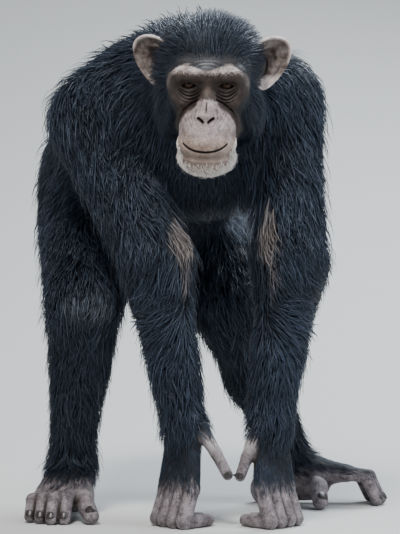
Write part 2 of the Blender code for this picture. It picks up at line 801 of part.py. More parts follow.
def sawn(thing):
    """The parts that the saw's cuts leave of a closed mesh."""
    cut_by(thing, saw_cuts(cuts().values()), "MANIFOLD")
    points, faces = arrays(thing)
    remove(thing)
    labels = loose_parts(faces)
    return [kept_part(points, faces, labels == n) for n in np.unique(labels)]


def part_round(parts, seed):
    """The part that seed lies in: its triangles fill the whole of seed's view."""

    def filled(part):
        a, b, c = (part[0][part[1][:, n]] - seed for n in range(3))
        la, lb, lc = (np.linalg.norm(v, axis=1) for v in (a, b, c))
        dots = lambda v, w: np.einsum("ij,ij->i", v, w)
        triple = dots(a, np.cross(b, c))
        bottom = la * lb * lc + dots(a, b) * lc + dots(b, c) * la + dots(c, a) * lb
        return np.arctan2(triple, bottom).sum() / (2 * math.pi)

    return max(parts, key=filled)


def fine_part(body, name, locks=()):
    low, high, step, count = FINE[name]
    points, faces = solid_of(body.core, body.near, low, high, step)
    thing = mesh_object("whole", points, faces)
    thinned(thing, count, face_weight if name == "head" else None)
    flat_on_ground(thing)
    if locks:
        fused(thing, locks)
    return mesh_object(name, *part_round(sawn(thing), seeds()[name]))


# The coat that the core shows in full, up to this depth
SHORT_COAT = 0.0055

# Locks: the least depth of coat they grow in, their length and gap for each metre of its depth,
# their width for each metre of length, and how far from an ear's middle they start
LONG_COAT = 0.0085
LOCK_LENGTH, LOCK_GAP, LOCK_WIDTH = 5.0, 3.9, 0.54
LOCK_TRIES = 12000
LOCK_SEED = 8
EAR_CLEAR = 0.052
LEAST_LOCK = 1e-7

# Along a lock: share of its length, share of its width, and the heights of its edges and of its
# ridge as shares of the coat's depth
LOCK_RINGS = (
    (0.00, 0.70, 0.10, 0.36),
    (0.38, 1.00, 0.46, 0.97),
    (0.72, 0.66, 0.74, 1.00),
)


def lock_roots(body, points, draw):
    """Where locks grow: points of the surface, drawn at random but never nearer than the gap."""
    _, coat = body.bare(points)
    local = to_head(points)
    ears = [np.linalg.norm(local - (82 * s, 92, 13), axis=1) * MM for s in (1, -1)]
    fit = (coat > LONG_COAT) & (np.minimum(*ears) > EAR_CLEAR) & (points[:, 2] > 0.105)
    for n in ("wrist_r", "wrist_l"):
        fit &= np.linalg.norm(points - JOINTS[n], axis=1) > 0.055
    chosen = np.empty((0, 3))
    for n in draw.permutation(np.flatnonzero(fit))[:LOCK_TRIES]:
        gaps = np.linalg.norm(chosen - points[n], axis=1)
        if not (gaps < LOCK_GAP * coat[n]).any():
            chosen = np.concatenate([chosen, points[n : n + 1]])
    return chosen


def lock_shapes(body, roots, draw):
    """Flat tapered locks that bend along the lie: edge, ridge and edge on each ring, and a tip.

    Each walks along the lie from its root, and every point is set to its height over the skin.
    """
    count = len(roots)
    lie = np.zeros((count, 3))
    d, coat = body.bare(roots, lie=lie)
    _, _, facing = body.over(roots)
    depth = coat
    length = LOCK_LENGTH * depth * draw.uniform(0.85, 1.15, count)
    width = LOCK_WIDTH * length * draw.uniform(0.85, 1.15, count)
    way = lie + np.cross(facing, lie) * draw.normal(0, 0.16, (count, 1))
    rings, place, before = [], roots, 0.0

    def set_to(places, share):
        """Points moved straight in or out to that share of the coat's depth over the skin."""
        d, _, out = body.over(places)
        return places + out * (share * depth - d)[:, None]

    for along, wide, edge, top in LOCK_RINGS:
        place = place + way * ((along - before) * length)[:, None]
        d, _, facing = body.over(place)
        way = unit(way - (way * facing).sum(1, keepdims=True) * facing)
        side = np.cross(way, facing) * (wide * width / 2)[:, None]
        place = set_to(place, top)
        ring = [set_to(place - side, edge), place, set_to(place + side, edge)]
        rings.append(np.stack(ring, 1))
        before = along
    tip = set_to(place + way * ((1 - before) * length)[:, None], 0.97)
    return np.concatenate(rings + [tip[:, None]], 1)


def lock_faces():
    """A lock's closed skin of triangles: its root, its sides from ring to ring, its point."""
    faces = [(2, 1, 0)]
    for low in range(0, 3 * (len(LOCK_RINGS) - 1), 3):
        for n in range(3):
            m = (n + 1) % 3
            faces += [(low + n, low + m, low + n + 3), (low + n + 3, low + m, low + m + 3)]
    last = 3 * (len(LOCK_RINGS) - 1)
    return faces + [(last + n, last + (n + 1) % 3, last + 3) for n in range(3)]


def fused(thing, shapes):
    """The solid joined with closed shapes by one Boolean union on a collection."""
    group = bpy.data.collections.new("locks")
    for points in shapes:
        if volume(points, np.array(lock_faces())) < LEAST_LOCK:
            continue
        lock = mesh_object("lock", points, lock_faces())
        bpy.context.scene.collection.objects.unlink(lock)
        group.objects.link(lock)
    with_modifier(
        thing,
        "BOOLEAN",
        operand_type="COLLECTION",
        collection=group,
        operation="UNION",
        solver="MANIFOLD",
    )
    for lock in list(group.objects):
        remove(lock)
    bpy.data.collections.remove(group)
    return thing


def ball(name, middle, radius, across=14, up=8):
    profile = [(0, -radius)]
    for n in range(1, up):
        tilt = math.pi * n / up
        profile.append((radius * math.sin(tilt), -radius * math.cos(tilt)))
    profile.append((0, radius))
    points, faces = turned(profile, np.asarray(middle), HEAD_TURN @ (0, -1, 0), across)
    mesh = bpy.data.meshes.new(name)
    mesh.from_pydata([tuple(p) for p in points], [], faces)
    thing = bpy.data.objects.new(name, mesh)
    bpy.context.scene.collection.objects.link(thing)
    return thing


def ear_rows():
    """The ear's section from the middle of its cup over the curled rim and down its back.

    Each row is a share of the way to the outline and a height in millimetres.
    """
    front = [(r, ear_cup(r)) for r in (0.0, 0.30, 0.50, 0.64, 0.76, 0.86)]
    rim = [(0.90, ear_cup(0.88) + 2.6), (0.97, ear_cup(0.88) + 3.4), (1.02, ear_cup(0.88) + 1.4)]
    back = [(r, ear_cup(r) - 3.0) for r in (0.99, 0.82, 0.60, 0.35, 0.0)]
    return front + rim + back


def ear_cup(share):
    """Depth of the cup: a bowl with the low ridge that runs inside the rim."""
    return 15 * share**2 - 10 + 2.6 * math.exp(-(((share - 0.64) / 0.10) ** 2))


def ear_outline(turn):
    """The ear's outline about its middle: broad above, drawn down and in to a lobe."""
    wide = 31 * (1 + 0.36 * math.sin(turn))
    drawn_in = 5 * min(math.sin(turn), 0) ** 2
    return wide * math.cos(turn) - drawn_in, 38 * math.sin(turn)


def ear(name, sign, around=20):
    across = np.array((0.906 * sign, 0.42, 0.03))
    up = np.array((0.10 * sign, 0.10, 1))
    facing = np.array((0.42 * sign, -0.906, 0.10))
    middle = np.array((82 * sign, 92, 13))
    rows = ear_rows()
    points, faces, last = [], [], None
    for share, height in rows:
        ring = []
        for n in range(around if share else 1):
            u, v = ear_outline(2 * math.pi * n / around)
            ring.append(len(points))
            points.append(middle + across * u * share + up * v * share + facing * height)
        ring *= 1 if share else around
        if last:
            for n in range(around):
                m = (n + 1) % around
                face = tuple(dict.fromkeys((last[n], last[m], ring[m], ring[n])))
                faces.append(face[::sign])
        last = ring
    mesh = bpy.data.meshes.new(name)
    mesh.from_pydata([tuple(p) for p in from_head(np.array(points))], [], faces)
    thing = bpy.data.objects.new(name, mesh)
    bpy.context.scene.collection.objects.link(thing)
    return thing


def grown(thing, by):
    """A copy of a solid, let out by a small distance along its points' normals."""
    copy = thing.copy()
    copy.data = thing.data.copy()
    bpy.context.scene.collection.objects.link(copy)
    normals = np.array([vertex.normal for vertex in thing.data.vertices])
    for vertex, normal in zip(copy.data.vertices, normals):
        vertex.co += Vector(normal * by)
    return copy


def build():
    for thing in list(bpy.data.objects):
        bpy.data.objects.remove(thing)
    body = Body()
    points, faces = solid_of(body.core, body.near, *BODY_BOX, 0.006)
    draw = np.random.default_rng(LOCK_SEED)
    locks = lock_shapes(body, lock_roots(body, points, draw), draw)
    print("locks", len(locks))
    whole = fused(thinned(mesh_object("whole", points, faces), WHOLE_COUNT), locks)
    parts = sawn(whole)
    for name, seed in seeds().items():
        if name == "head":
            fine_part(body, name, [lock for lock in locks if inside_box(lock, FINE["head"])])
        elif name in FINE:
            fine_part(body, name)
        else:
            mesh_object(name, *part_round(parts, seed))
    head = bpy.data.objects["head"]
    for side, sign in (("left", 1), ("right", -1)):
        middle = from_head(EYE * (sign, 1, 1))
        cut_by(head, ball("socket", middle, EYE_RADIUS * MM + SAW))
        ball("eye_" + side, middle, EYE_RADIUS * MM)
        cup = ear("ear_" + side, sign)
        cut_by(cup, grown(head, SAW))
        largest_part(cup)
    largest_part(head)
    things = [t for t in bpy.data.objects if t.type == "MESH"]
    corners = np.concatenate([arrays(t)[0] for t in things])
    low, high = corners.min(0), corners.max(0)
    shift = Vector((-(low[0] + high[0]) / 2, -(low[1] + high[1]) / 2, -low[2]))
    for thing in things:
        thing.data.transform(Matrix.Translation(shift))
        thing.data.update()
    print("shift", tuple(round(v, 6) for v in shift), "size", (high - low).round(4))


def inside_box(points, box):
    """Whether any of the points is inside the box that the first two entries give."""
    return ((points > box[0]) & (points < box[1])).all(1).any()


WHOLE_COUNT = 2850
BODY_BOX = ((-0.30, -0.27, 0.0), (0.32, 0.48, 0.79))

if __name__ == "__main__":
    build()
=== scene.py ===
"""The looks of a chimpanzee that leans on its knuckles: skin, coat, face, ears, hands and feet.

The skin is the zero surface of the same tapered limbs and egg shapes that the solids were made
from, without the coat's depth. The coat is many thin tufts that grow from it along its lie.
Metres, +Z up; the animal faces -Y, and its left side is at +X.
"""
import itertools
import math

import bpy
import numpy as np
from mathutils import Matrix, Vector


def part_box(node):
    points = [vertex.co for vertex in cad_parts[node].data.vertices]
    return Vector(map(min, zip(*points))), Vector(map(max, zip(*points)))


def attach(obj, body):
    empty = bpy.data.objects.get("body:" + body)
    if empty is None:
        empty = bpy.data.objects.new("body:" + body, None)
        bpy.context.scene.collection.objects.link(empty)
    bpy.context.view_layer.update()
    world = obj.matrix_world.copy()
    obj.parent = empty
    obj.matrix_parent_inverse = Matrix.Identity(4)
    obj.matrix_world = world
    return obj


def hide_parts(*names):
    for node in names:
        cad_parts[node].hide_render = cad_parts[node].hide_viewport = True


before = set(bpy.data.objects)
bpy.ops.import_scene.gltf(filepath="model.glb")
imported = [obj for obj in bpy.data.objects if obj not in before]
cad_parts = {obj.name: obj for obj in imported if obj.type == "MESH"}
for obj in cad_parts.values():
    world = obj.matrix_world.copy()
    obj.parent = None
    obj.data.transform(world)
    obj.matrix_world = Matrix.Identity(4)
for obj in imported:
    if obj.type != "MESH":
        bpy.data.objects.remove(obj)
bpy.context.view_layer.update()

MM = 0.001
FAR = 1.0

# The skeleton in the solids' own design frame. "r" is the animal's right side, at -X.
JOINTS = {
    "skull": (0.004, -0.045, 0.660),
    "nape": (-0.006, 0.060, 0.656),
    "withers": (-0.056, 0.150, 0.630),
    "shoulder_r": (-0.155, 0.105, 0.603),
    "elbow_r": (-0.064, -0.005, 0.389),
    "wrist_r": (-0.024, -0.028, 0.150),
    "shoulder_l": (0.108, 0.078, 0.625),
    "elbow_l": (0.133, -0.005, 0.389),
    "wrist_l": (0.103, -0.028, 0.150),
    "hip_r": (-0.168, 0.322, 0.488),
    "knee_r": (-0.176, 0.100, 0.319),
    "ankle_r": (-0.197, 0.120, 0.066),
    "hip_l": (0.000, 0.365, 0.475),
    "knee_l": (0.049, 0.170, 0.305),
    "ankle_l": (0.142, 0.235, 0.064),
}
JOINTS = {name: np.array(place) for name, place in JOINTS.items()}

# The head's own frame: millimetres from the point between the eyes, x to the animal's left,
# y backwards, z up.
NASION = np.array((0.0106, -0.170, 0.645))
HEAD_PITCH, HEAD_YAW, HEAD_ROLL = math.radians(15), math.radians(-4), math.radians(1)
EYE_SIDE = 27.0
EYE = np.array((EYE_SIDE, 13.0, 0.0))
EYE_RADIUS = 11.5

# Hands and feet
FINGER_GAP = 0.0178
DORSAL_TURN = math.radians(45)
TOE_GAP = 0.0165
THUMBS = {
    "l": ((0.0830, -0.045, 0.138), (0.0690, -0.050, 0.104), (0.0590, -0.051, 0.076)),
    "r": ((0.0020, -0.045, 0.144), (0.0235, -0.050, 0.110), (0.0405, -0.051, 0.078)),
}
FEET = {  # the way the toes point, the way to the first toe, the first toe's reach
    "r": ((-0.20, -0.98, 0), (0.98, -0.20, 0), (0.126, 0.062)),
    "l": ((0.995, -0.10, 0), (-0.10, -0.995, 0), (0.052, 0.078)),
}


def unit(vectors):
    vectors = np.asarray(vectors, float)
    return vectors / (np.linalg.norm(vectors, axis=-1, keepdims=True) + 1e-12)


def turn_z(angle):
    c, s = math.cos(angle), math.sin(angle)
    return np.array(((c, -s, 0), (s, c, 0), (0, 0, 1)))


def turn_x(angle):
    c, s = math.cos(angle), math.sin(angle)
    return np.array(((1, 0, 0), (0, c, -s), (0, s, c)))


def turn_y(angle):
    c, s = math.cos(angle), math.sin(angle)
    return np.array(((c, 0, s), (0, 1, 0), (-s, 0, c)))


HEAD_TURN = turn_z(HEAD_YAW) @ turn_x(HEAD_PITCH) @ turn_y(HEAD_ROLL)


def to_head(points):
    """Design metres to the head's millimetres."""
    return (points - NASION) @ HEAD_TURN / MM


def from_head(points):
    return np.asarray(points, float) * MM @ HEAD_TURN.T + NASION


def row_shift():
    """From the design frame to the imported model's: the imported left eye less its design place."""
    low, high = (np.array(corner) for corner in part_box("eye_left"))
    return (low + high) / 2 - from_head(EYE)


SHIFT = row_shift()
SHIFT[2] = 0


def clipped(value):
    """Between 0 and 1, for an array or a shader's socket."""
    return value.clamped() if isinstance(value, Maths) else np.clip(value, 0, 1)


def smooth(low, high, value):
    """0 below low, 1 above high, an S between."""
    t = clipped((value - low) * (1 / (high - low)))
    return t * t * (3 - 2 * t)


def bell(value, width):
    power = value * value * (-1 / width**2)
    return power.exp() if isinstance(power, Maths) else np.exp(power)


def soft_min(a, b, blend):
    h = np.clip(0.5 + 0.5 * (b - a) / blend, 0, 1)
    return b + (a - b) * h - blend * h * (1 - h)


def soft_max(a, b, blend):
    return -soft_min(-a, -b, blend)


def cone_distance(points, start, end, r_start, r_end, bulge=0.0):
    """Distance to a tapered limb: the nearest point of its axis, less the radius there."""
    start, end = np.asarray(start, float), np.asarray(end, float)
    axis = end - start
    t = np.clip((points - start) @ axis / (axis @ axis), 0, 1)
    off = points - start - t[:, None] * axis
    radius = r_start + (r_end - r_start) * t + bulge * np.sin(math.pi * t)
    return np.sqrt((off * off).sum(1)) - radius


def egg_distance(points, centre, radii, turn=None):
    """Distance to an egg shape, from its scaled radius k: k (k - 1) / |gradient of k|."""
    local = points - np.asarray(centre, float)
    if turn is not None:
        local = local @ turn
    radii = np.asarray(radii, float)
    k = np.sqrt(((local / radii) ** 2).sum(1)) + 1e-9
    g = np.sqrt(((local / radii**2) ** 2).sum(1)) + 1e-9
    return k * (k - 1) / g


class Form:
    """One shape of the body's field, with its coat: depth, tuft length and the way it lies."""

    def __init__(self, distance, middle, reach, blend, coat, length, lie):
        self.distance = distance
        self.middle = np.asarray(middle, float)
        self.reach = reach
        self.blend = blend
        self.coat = coat
        self.length = length
        self.lie = lie if callable(lie) else lambda p: np.broadcast_to(unit(lie), p.shape)

    def traits(self, points):
        fixed = np.broadcast_to((self.coat, self.length), (len(points), 2))
        return np.hstack([fixed, self.lie(points)])


def limb(start, end, r_start, r_end, blend=0.02, coat=0.0, bulge=0.0, length=0.02, lie=None):
    start, end = np.asarray(start, float), np.asarray(end, float)
    reach = np.linalg.norm(end - start) / 2 + max(r_start, r_end) + abs(bulge)
    return Form(
        lambda p: cone_distance(p, start, end, r_start, r_end, bulge),
        (start + end) / 2,
        reach,
        blend,
        coat,
        length,
        end - start if lie is None else lie,
    )


def egg(centre, radii, blend=0.03, coat=0.0, turn=None, length=0.05, lie=(0, 0.5, -0.8)):
    return Form(
        lambda p: egg_distance(p, centre, radii, turn),
        centre,
        max(radii),
        blend,
        coat,
        length,
        lie,
    )


def back_lie(points):
    """Down the sides and towards the rump, with the flanks falling straighter."""
    out = points[:, 0] + 0.055 + 0.25 * (points[:, 1] - 0.17)
    side = np.clip(out / 0.10, -1, 1)
    lie = np.stack([0.45 * side, 0.75 - 0.45 * np.abs(side), -0.35 - 0.5 * np.abs(side)], 1)
    return unit(lie)


def trunk_forms():
    j = JOINTS
    yaw = turn_z(math.radians(14))
    belly = (0.0, 0.25, -0.9)
    forms = [
        egg((-0.008, 0.085, 0.600), (0.128, 0.092, 0.095), 0.04, 0.016, yaw, 0.055, back_lie),
        egg((-0.052, 0.175, 0.600), (0.120, 0.120, 0.123), 0.05, 0.022, yaw, 0.070, back_lie),
        egg((-0.086, 0.265, 0.580), (0.122, 0.115, 0.119), 0.05, 0.020, yaw, 0.070, back_lie),
        egg((-0.100, 0.345, 0.535), (0.122, 0.085, 0.105), 0.05, 0.018, yaw, 0.060, back_lie),
        egg((0.014, 0.075, 0.540), (0.092, 0.078, 0.085), 0.04, 0.008, yaw, 0.040, belly),
        egg((-0.060, 0.240, 0.500), (0.108, 0.120, 0.092), 0.05, 0.010, yaw, 0.045, belly),
        limb(j["skull"], j["nape"], 0.066, 0.078, 0.04, 0.020, 0, 0.06, (0, 0.8, -0.45)),
        limb(j["nape"], j["withers"], 0.074, 0.070, 0.04, 0.022, 0, 0.07, (0, 0.9, -0.3)),
    ]
    for side in "rl":
        inner = j["nape"] * 0.75 + j["shoulder_" + side] * 0.25
        down = j["elbow_" + side] - j["shoulder_" + side]
        lie = unit(down) + (0, 0.35, 0)
        forms.append(
            limb(inner, j["shoulder_" + side], 0.070, 0.056, 0.04, 0.022, 0, 0.075, lie)
        )
    return forms


def forearm_lie(side):
    """From the wrist's third up and out to the elbow, and from there down to the hand."""
    elbow, wrist = JOINTS["elbow_" + side], JOINTS["wrist_" + side]
    s = 1 if side == "l" else -1
    down = unit(wrist - elbow)
    up = unit(-0.15 * down + np.array((0.75 * s, 0.45, -0.35)))

    def lie(points):
        t = (points - elbow) @ down / np.linalg.norm(wrist - elbow)
        share = smooth(0.25, 0.65, t)[:, None]
        return unit(up * (1 - share) + down * share)

    return lie


def arm_forms(side):
    j = JOINTS
    shoulder, elbow, wrist = (j[n + side] for n in ("shoulder_", "elbow_", "wrist_"))
    carpus = wrist + np.array((0, 0, -0.022))
    s = 1 if side == "l" else -1
    down = unit(elbow - shoulder) + (0.12 * s, 0.15, 0)
    return [
        limb(shoulder, elbow, 0.052, 0.039, 0.035, 0.020, 0.002, 0.075, down),
        limb(elbow, wrist, 0.038, 0.0215, 0.02, 0.014, 0.003, 0.050, forearm_lie(side)),
        limb(wrist, carpus, 0.0210, 0.0225, 0.015, 0.006, 0, 0.025),
    ]


def leg_forms(side):
    j = JOINTS
    hip, knee, ankle = (j[n + side] for n in ("hip_", "knee_", "ankle_"))
    calf = knee * 0.72 + ankle * 0.28 + np.array((0, 0.012, 0))
    thigh_lie = unit(knee - hip) + (0, 0.25, -0.55)
    shin_lie = unit(ankle - knee) + (0, 0.12, 0)
    return [
        limb(hip, knee, 0.074, 0.043, 0.05, 0.018, 0.006, 0.065, thigh_lie),
        limb(knee, ankle, 0.039, 0.026, 0.02, 0.012, 0, 0.045, shin_lie),
        egg(calf, (0.036, 0.038, 0.075), 0.02, 0.012, None, 0.045, shin_lie),
    ]


def hand_frame(side):
    """Wrist, the way the back of the hand faces, and the way from first to last finger."""
    s = 1 if side == "l" else -1
    dorsal = np.array((s * math.sin(DORSAL_TURN), -math.cos(DORSAL_TURN), 0))
    across = np.array((s * math.cos(DORSAL_TURN), math.sin(DORSAL_TURN), 0))
    return JOINTS["wrist_" + side], dorsal, across


def finger_points(side, n):
    """Knuckle, bent joint on the ground, pad joint and tip of finger n, from 0 to 3."""
    wrist, dorsal, across = hand_frame(side)
    place = (n - 1.5) * FINGER_GAP
    spread = 1 + 0.05 * n
    long = (0.92, 1.0, 0.97, 0.84)[n]
    knuckle = wrist + across * place + dorsal * 0.010
    knuckle[2] = 0.058 - 0.002 * abs(n - 1.3)
    bent = knuckle + dorsal * 0.019 * long + across * place * 0.06 * spread
    bent[2] = 0.0108
    pad = bent - dorsal * 0.034 * long
    pad[2] = 0.0100
    tip = pad - dorsal * 0.020 * long
    tip[2] = 0.0092
    return knuckle, bent, pad, tip


def hand_forms(side):
    wrist, dorsal, across = hand_frame(side)
    forms = []
    for n in range(4):
        knuckle, bent, pad, tip = finger_points(side, n)
        root = wrist + across * (n - 1.5) * 0.010 + np.array((0, 0, -0.014))
        forms.append(limb(root, knuckle, 0.0142, 0.0120, 0.006, 0.001))
        forms.append(limb(knuckle, bent, 0.0112, 0.0112, 0.002))
        forms.append(limb(bent, pad, 0.0110, 0.0102, 0.003))
        forms.append(limb(pad, tip, 0.0100, 0.0092, 0.004))
    base, middle, tip = (np.array(p) for p in THUMBS[side])
    forms.append(limb(base, middle, 0.0110, 0.0088, 0.008, 0.001))
    forms.append(limb(middle, tip, 0.0088, 0.0078, 0.003))
    return forms


def foot_frame(side):
    along, inward, reach = FEET[side]
    return JOINTS["ankle_" + side], unit(along), unit(inward), reach


def toe_points(side, n):
    """Root joint, bent joint and tip of toe n, from 0 beside the first toe to 3."""
    ankle, along, inward, _ = foot_frame(side)
    place = (1.5 - n) * TOE_GAP
    long = (0.97, 1.0, 0.93, 0.80)[n]
    root = ankle + along * (0.088 - 0.004 * abs(n - 1)) + inward * (place - 0.004)
    arch = 0.014 if side == "l" else 0
    root[2] = 0.036 - 0.002 * n + arch
    bent = root + along * 0.036 * long + inward * place * 0.12
    bent[2] = 0.038 - 0.002 * n + arch * 0.6
    tip = bent + along * 0.018 * long
    tip[2] = 0.0094
    return root, bent, tip


def hallux_points(side):
    ankle, along, inward, reach = foot_frame(side)
    root = ankle + along * 0.030 + inward * 0.014
    root[2] = 0.036
    tip = ankle + along * reach[0] + inward * reach[1]
    tip[2] = 0.0125
    middle = root * 0.42 + tip * 0.58 + along * 0.004
    middle[2] = 0.031
    return root, middle, tip


def foot_forms(side):
    ankle, along, inward, _ = foot_frame(side)
    heel = ankle - along * 0.036
    heel[2] = 0.0235
    sole = heel * (1, 1, 0) + (0, 0, 0.020)
    forms = [
        limb(ankle, heel, 0.027, 0.024, 0.02, 0.006),
        limb(sole, ankle + along * 0.04 - (0, 0, 0.036), 0.020, 0.022, 0.02),
    ]
    for n in range(4):
        root, bent, tip = toe_points(side, n)
        hind = ankle + inward * (1.5 - n) * 0.009 + along * 0.014
        hind[2] = 0.052
        forms.append(limb(hind, root, 0.021, 0.0125, 0.014, 0.001))
        forms.append(limb(root, bent, 0.0110, 0.0104, 0.004))
        forms.append(limb(bent, tip, 0.0098, 0.0092, 0.002))
    root, middle, tip = hallux_points(side)
    forms.append(limb(ankle - (0, 0, 0.012), root, 0.024, 0.020, 0.02, 0.002))
    forms.append(limb(root, middle, 0.019, 0.0145, 0.010))
    forms.append(limb(middle, tip, 0.0145, 0.0122, 0.005))
    return forms


# Lines of the face, in the head's millimetres. Under each eye: how far below it the line's
# lowest point is, how much it curves up to its ends, its half width and its depth.
EYE_LINES = (
    (-10.4, 0.036, 11.5, 0.7),
    (-15.6, 0.044, 13.0, 1.1),
    (-20.6, 0.042, 13.5, 1.1),
    (-25.6, 0.034, 11.5, 0.8),
)
BROW_LINES = ((29.5, 13.0), (33.0, 18.0), (36.5, 14.0))
# Lines from beside the nose out over the muzzle: start, end and depth
NOSE_LINES = (
    ((13.0, -19.0), (24.0, -28.0), 1.1),
    ((24.0, -28.0), (33.5, -36.0), 1.3),
    ((33.5, -36.0), (39.5, -47.0), 0.8),
    ((27.5, -39.0), (19.0, -50.0), 0.40),
    ((31.5, -43.0), (24.0, -54.0), 0.35),
    ((24.0, -36.0), (18.0, -44.0), 0.30),
    ((13.0, -14.0), (26.0, -22.5), 0.6),
    ((14.5, -31.0), (16.5, -39.0), 0.45),
    ((16.5, -39.0), (11.0, -48.0), 0.40),
    ((29.0, -60.0), (37.0, -52.0), 0.35),
)
NOSTRIL = (4.2, -42.6), (10.8, -38.6)


def line_distance(x, z, start, end):
    """Distance to a straight line between two places, seen from the front."""
    (x0, z0), (x1, z1) = start, end
    run, rise = x1 - x0, z1 - z0
    along = clipped(((x - x0) * run + (z - z0) * rise) * (1 / (run**2 + rise**2)))
    across, up = x - x0 - along * run, z - z0 - along * rise
    return (across * across + up * up) ** 0.5


def nostril_line(x, z):
    """Distance to the line of a nostril, which is bent so that its middle is the highest."""
    return line_distance(x, z + 0.03 * (x - 7.5) * (x - 7.5) - 0.4, *NOSTRIL)


def mouth_height(x):
    """The mouth's line: flat in the middle and drawn up at its corners."""
    return x * x * 0.0052 + x * x * x * x * 0.0000036 - 80.4


def eye_line(x, drop, curve, half):
    """An arc under the eye: its height at x, and how it fades out at its ends."""
    side = x - (EYE_SIDE - 1.5)
    return side * side * curve + drop, smooth(half + 4, half - 3, abs(side - 1.0))


def face_lines(x, z):
    """How deep the face's lines are, in millimetres: a bell across each of them."""
    depth = 1.2 * bell(x, 1.25) * smooth(-17, -22, z) * smooth(-33, -29, z)
    for drop, curve, half, cut in EYE_LINES:
        line, ends = eye_line(x, drop, curve, half)
        depth = depth + cut * bell(z - line, 0.95) * ends
    for level, half in BROW_LINES:
        line = x * x * -0.008 + level
        depth = depth + 0.6 * bell(z - line, 0.8) * smooth(half + 5, half - 4, x)
    for start, end, cut in NOSE_LINES:
        depth = depth + cut * bell(line_distance(x, z, start, end), 1.05)
    return depth


def eye_bags(x, z):
    """How far the skin swells between the lines under the eyes."""
    height = 0
    for drop, curve, half, cut in EYE_LINES:
        line, ends = eye_line(x, drop, curve, half)
        height = height + 0.6 * cut * bell(z - line - 2.6, 1.7) * ends
    return height


def head_distance(points):
    """The bare head in its own frame, in millimetres: skull, face and muzzle, then the cuts."""
    p = points.copy()
    p[:, 0] = np.abs(p[:, 0])
    x, y, z = p.T
    d = egg_distance(p, (0, 90, 22), (63, 76, 57))
    d = soft_min(d, egg_distance(p, (0, 30, 18), (44, 32, 22)), 14)
    d = soft_min(d, egg_distance(p, (0, 40, -14), (56, 38, 56)), 14)
    d = soft_min(d, egg_distance(p, (40, 54, -40), (24, 36, 42)), 14)
    d = soft_min(d, egg_distance(p, (40, 18, -16), (17, 17, 26)), 14)
    d = soft_min(d, egg_distance(p, (0, 6, -60), (41, 58, 31)), 12)
    d = soft_min(d, egg_distance(p, (0, -20, -77), (41, 45, 26)), 8)
    d = soft_min(d, egg_distance(p, (0, -14, -98), (38, 43, 23)), 6)
    d = soft_min(d, egg_distance(p, (0, -24, -95), (34, 37, 9)), 7)
    d = soft_min(d, egg_distance(p, (0, 40, -80), (40, 44, 34)), 16)
    brow = cone_distance(p, (0, 4, 14), (22, -4, 18), 10.5, 12.5)
    brow = soft_min(brow, cone_distance(p, (22, -4, 18), (41, 2, 16), 12.5, 12), 3)
    brow = soft_min(brow, cone_distance(p, (41, 2, 16), (49, 17, -5), 12, 9), 4)
    d = soft_min(d, egg_distance(p, (40, 26, 12), (20, 24, 24)), 12)
    d = soft_min(d, brow, 8)
    d = soft_max(d, -egg_distance(p, (26, -9, -3), (15, 15, 11)), 6)
    d = soft_min(d, egg_distance(p, EYE, (15.5, 13.2, 13.5)), 5)
    d = soft_min(d, cone_distance(p, (0, 13, -2), (0, -12, -30), 10, 13), 14)
    d = soft_min(d, egg_distance(p, (0, -31, -38), (10, 8, 8)), 6)
    d = soft_min(d, egg_distance(p, (12, -27, -39), (7.5, 8, 6.5)), 5)
    nostril = np.maximum(nostril_line(x, z) - 1.5, -d - 4)
    d = soft_max(d, -np.maximum(nostril, y + 20), 1.2)
    opening = np.maximum(np.abs(z + 0.3) - (4.4 - 0.040 * (x - EYE[0]) ** 2), y - 8)
    opening = np.maximum(opening, np.abs(x - EYE[0]) - 11)
    d = soft_max(d, -opening, 1.2)
    mouth = np.maximum(np.abs(z - mouth_height(x)) - 1.1, -d - 5)
    mouth = np.maximum(mouth, np.maximum(x - 31, y + 12))
    d = soft_max(d, -mouth, 1.6)
    front = (y < 22) & (np.abs(z + 8) < 52)
    near = smooth(16, 4, y[front] - 0.35 * x[front] + 4)
    d[front] += (face_lines(x[front], z[front]) - eye_bags(x[front], z[front])) * near
    return d


def face_edge(points):
    """How far a point is outside the outline of the naked face, in millimetres.

    From in front the outline is a wide oval over the eyes run into a narrower one over the
    muzzle; it is cut off behind the cheeks.
    """
    flat = np.stack([np.abs(points[:, 0]), 0 * points[:, 0], points[:, 2]], 1)
    edge = egg_distance(flat, (28, 0, 0), (32, 1, 30.5))
    edge = soft_min(edge, egg_distance(flat, (0, 0, -8), (34, 1, 31)), 6)
    edge = soft_min(edge, egg_distance(flat, (0, 0, -66), (47, 1, 54)), 20)
    behind = points[:, 1] - 16 - 18 * smooth(-10, -45, points[:, 2])
    return soft_max(edge, behind, 8)


def head_coat(points):
    """The coat's depth over the head, in millimetres, growing from the edge of the face."""
    x, y, z = np.abs(points[:, 0]), points[:, 1], points[:, 2]
    full = 9 + 5 * smooth(0, 60, y) + 6 * smooth(20, 60, x)
    full = full + 8 * smooth(0, -50, z) * smooth(-112, -75, z) * smooth(20, 50, x)
    depth = full * smooth(0, 18, face_edge(points)) * smooth(-12, 20, y)
    chin = 9 * smooth(-104, -116, z)
    return np.maximum(depth, chin)


def head_lie(points):
    """Back over the crown from the brow, down and back on the cheeks, forward under the chin."""
    x, y, z = points.T
    low = smooth(10, -30, z)
    side = np.sign(x) * smooth(15, 45, np.abs(x))
    crown = np.stack([0.35 * side, 0.9 + 0 * x, 0.30 * smooth(40, 0, y) - 0.15], 1)
    cheek = np.stack([0.30 * side, 0.35 + 0 * x, -0.9 + 0 * x], 1)
    lie = crown * (1 - low)[:, None] + cheek * low[:, None]
    chin = smooth(-100, -112, z) * smooth(20, -10, y)
    lie = lie * (1 - chin)[:, None] + np.array((0, -0.45, -0.9)) * chin[:, None]
    return unit(lie) @ HEAD_TURN.T


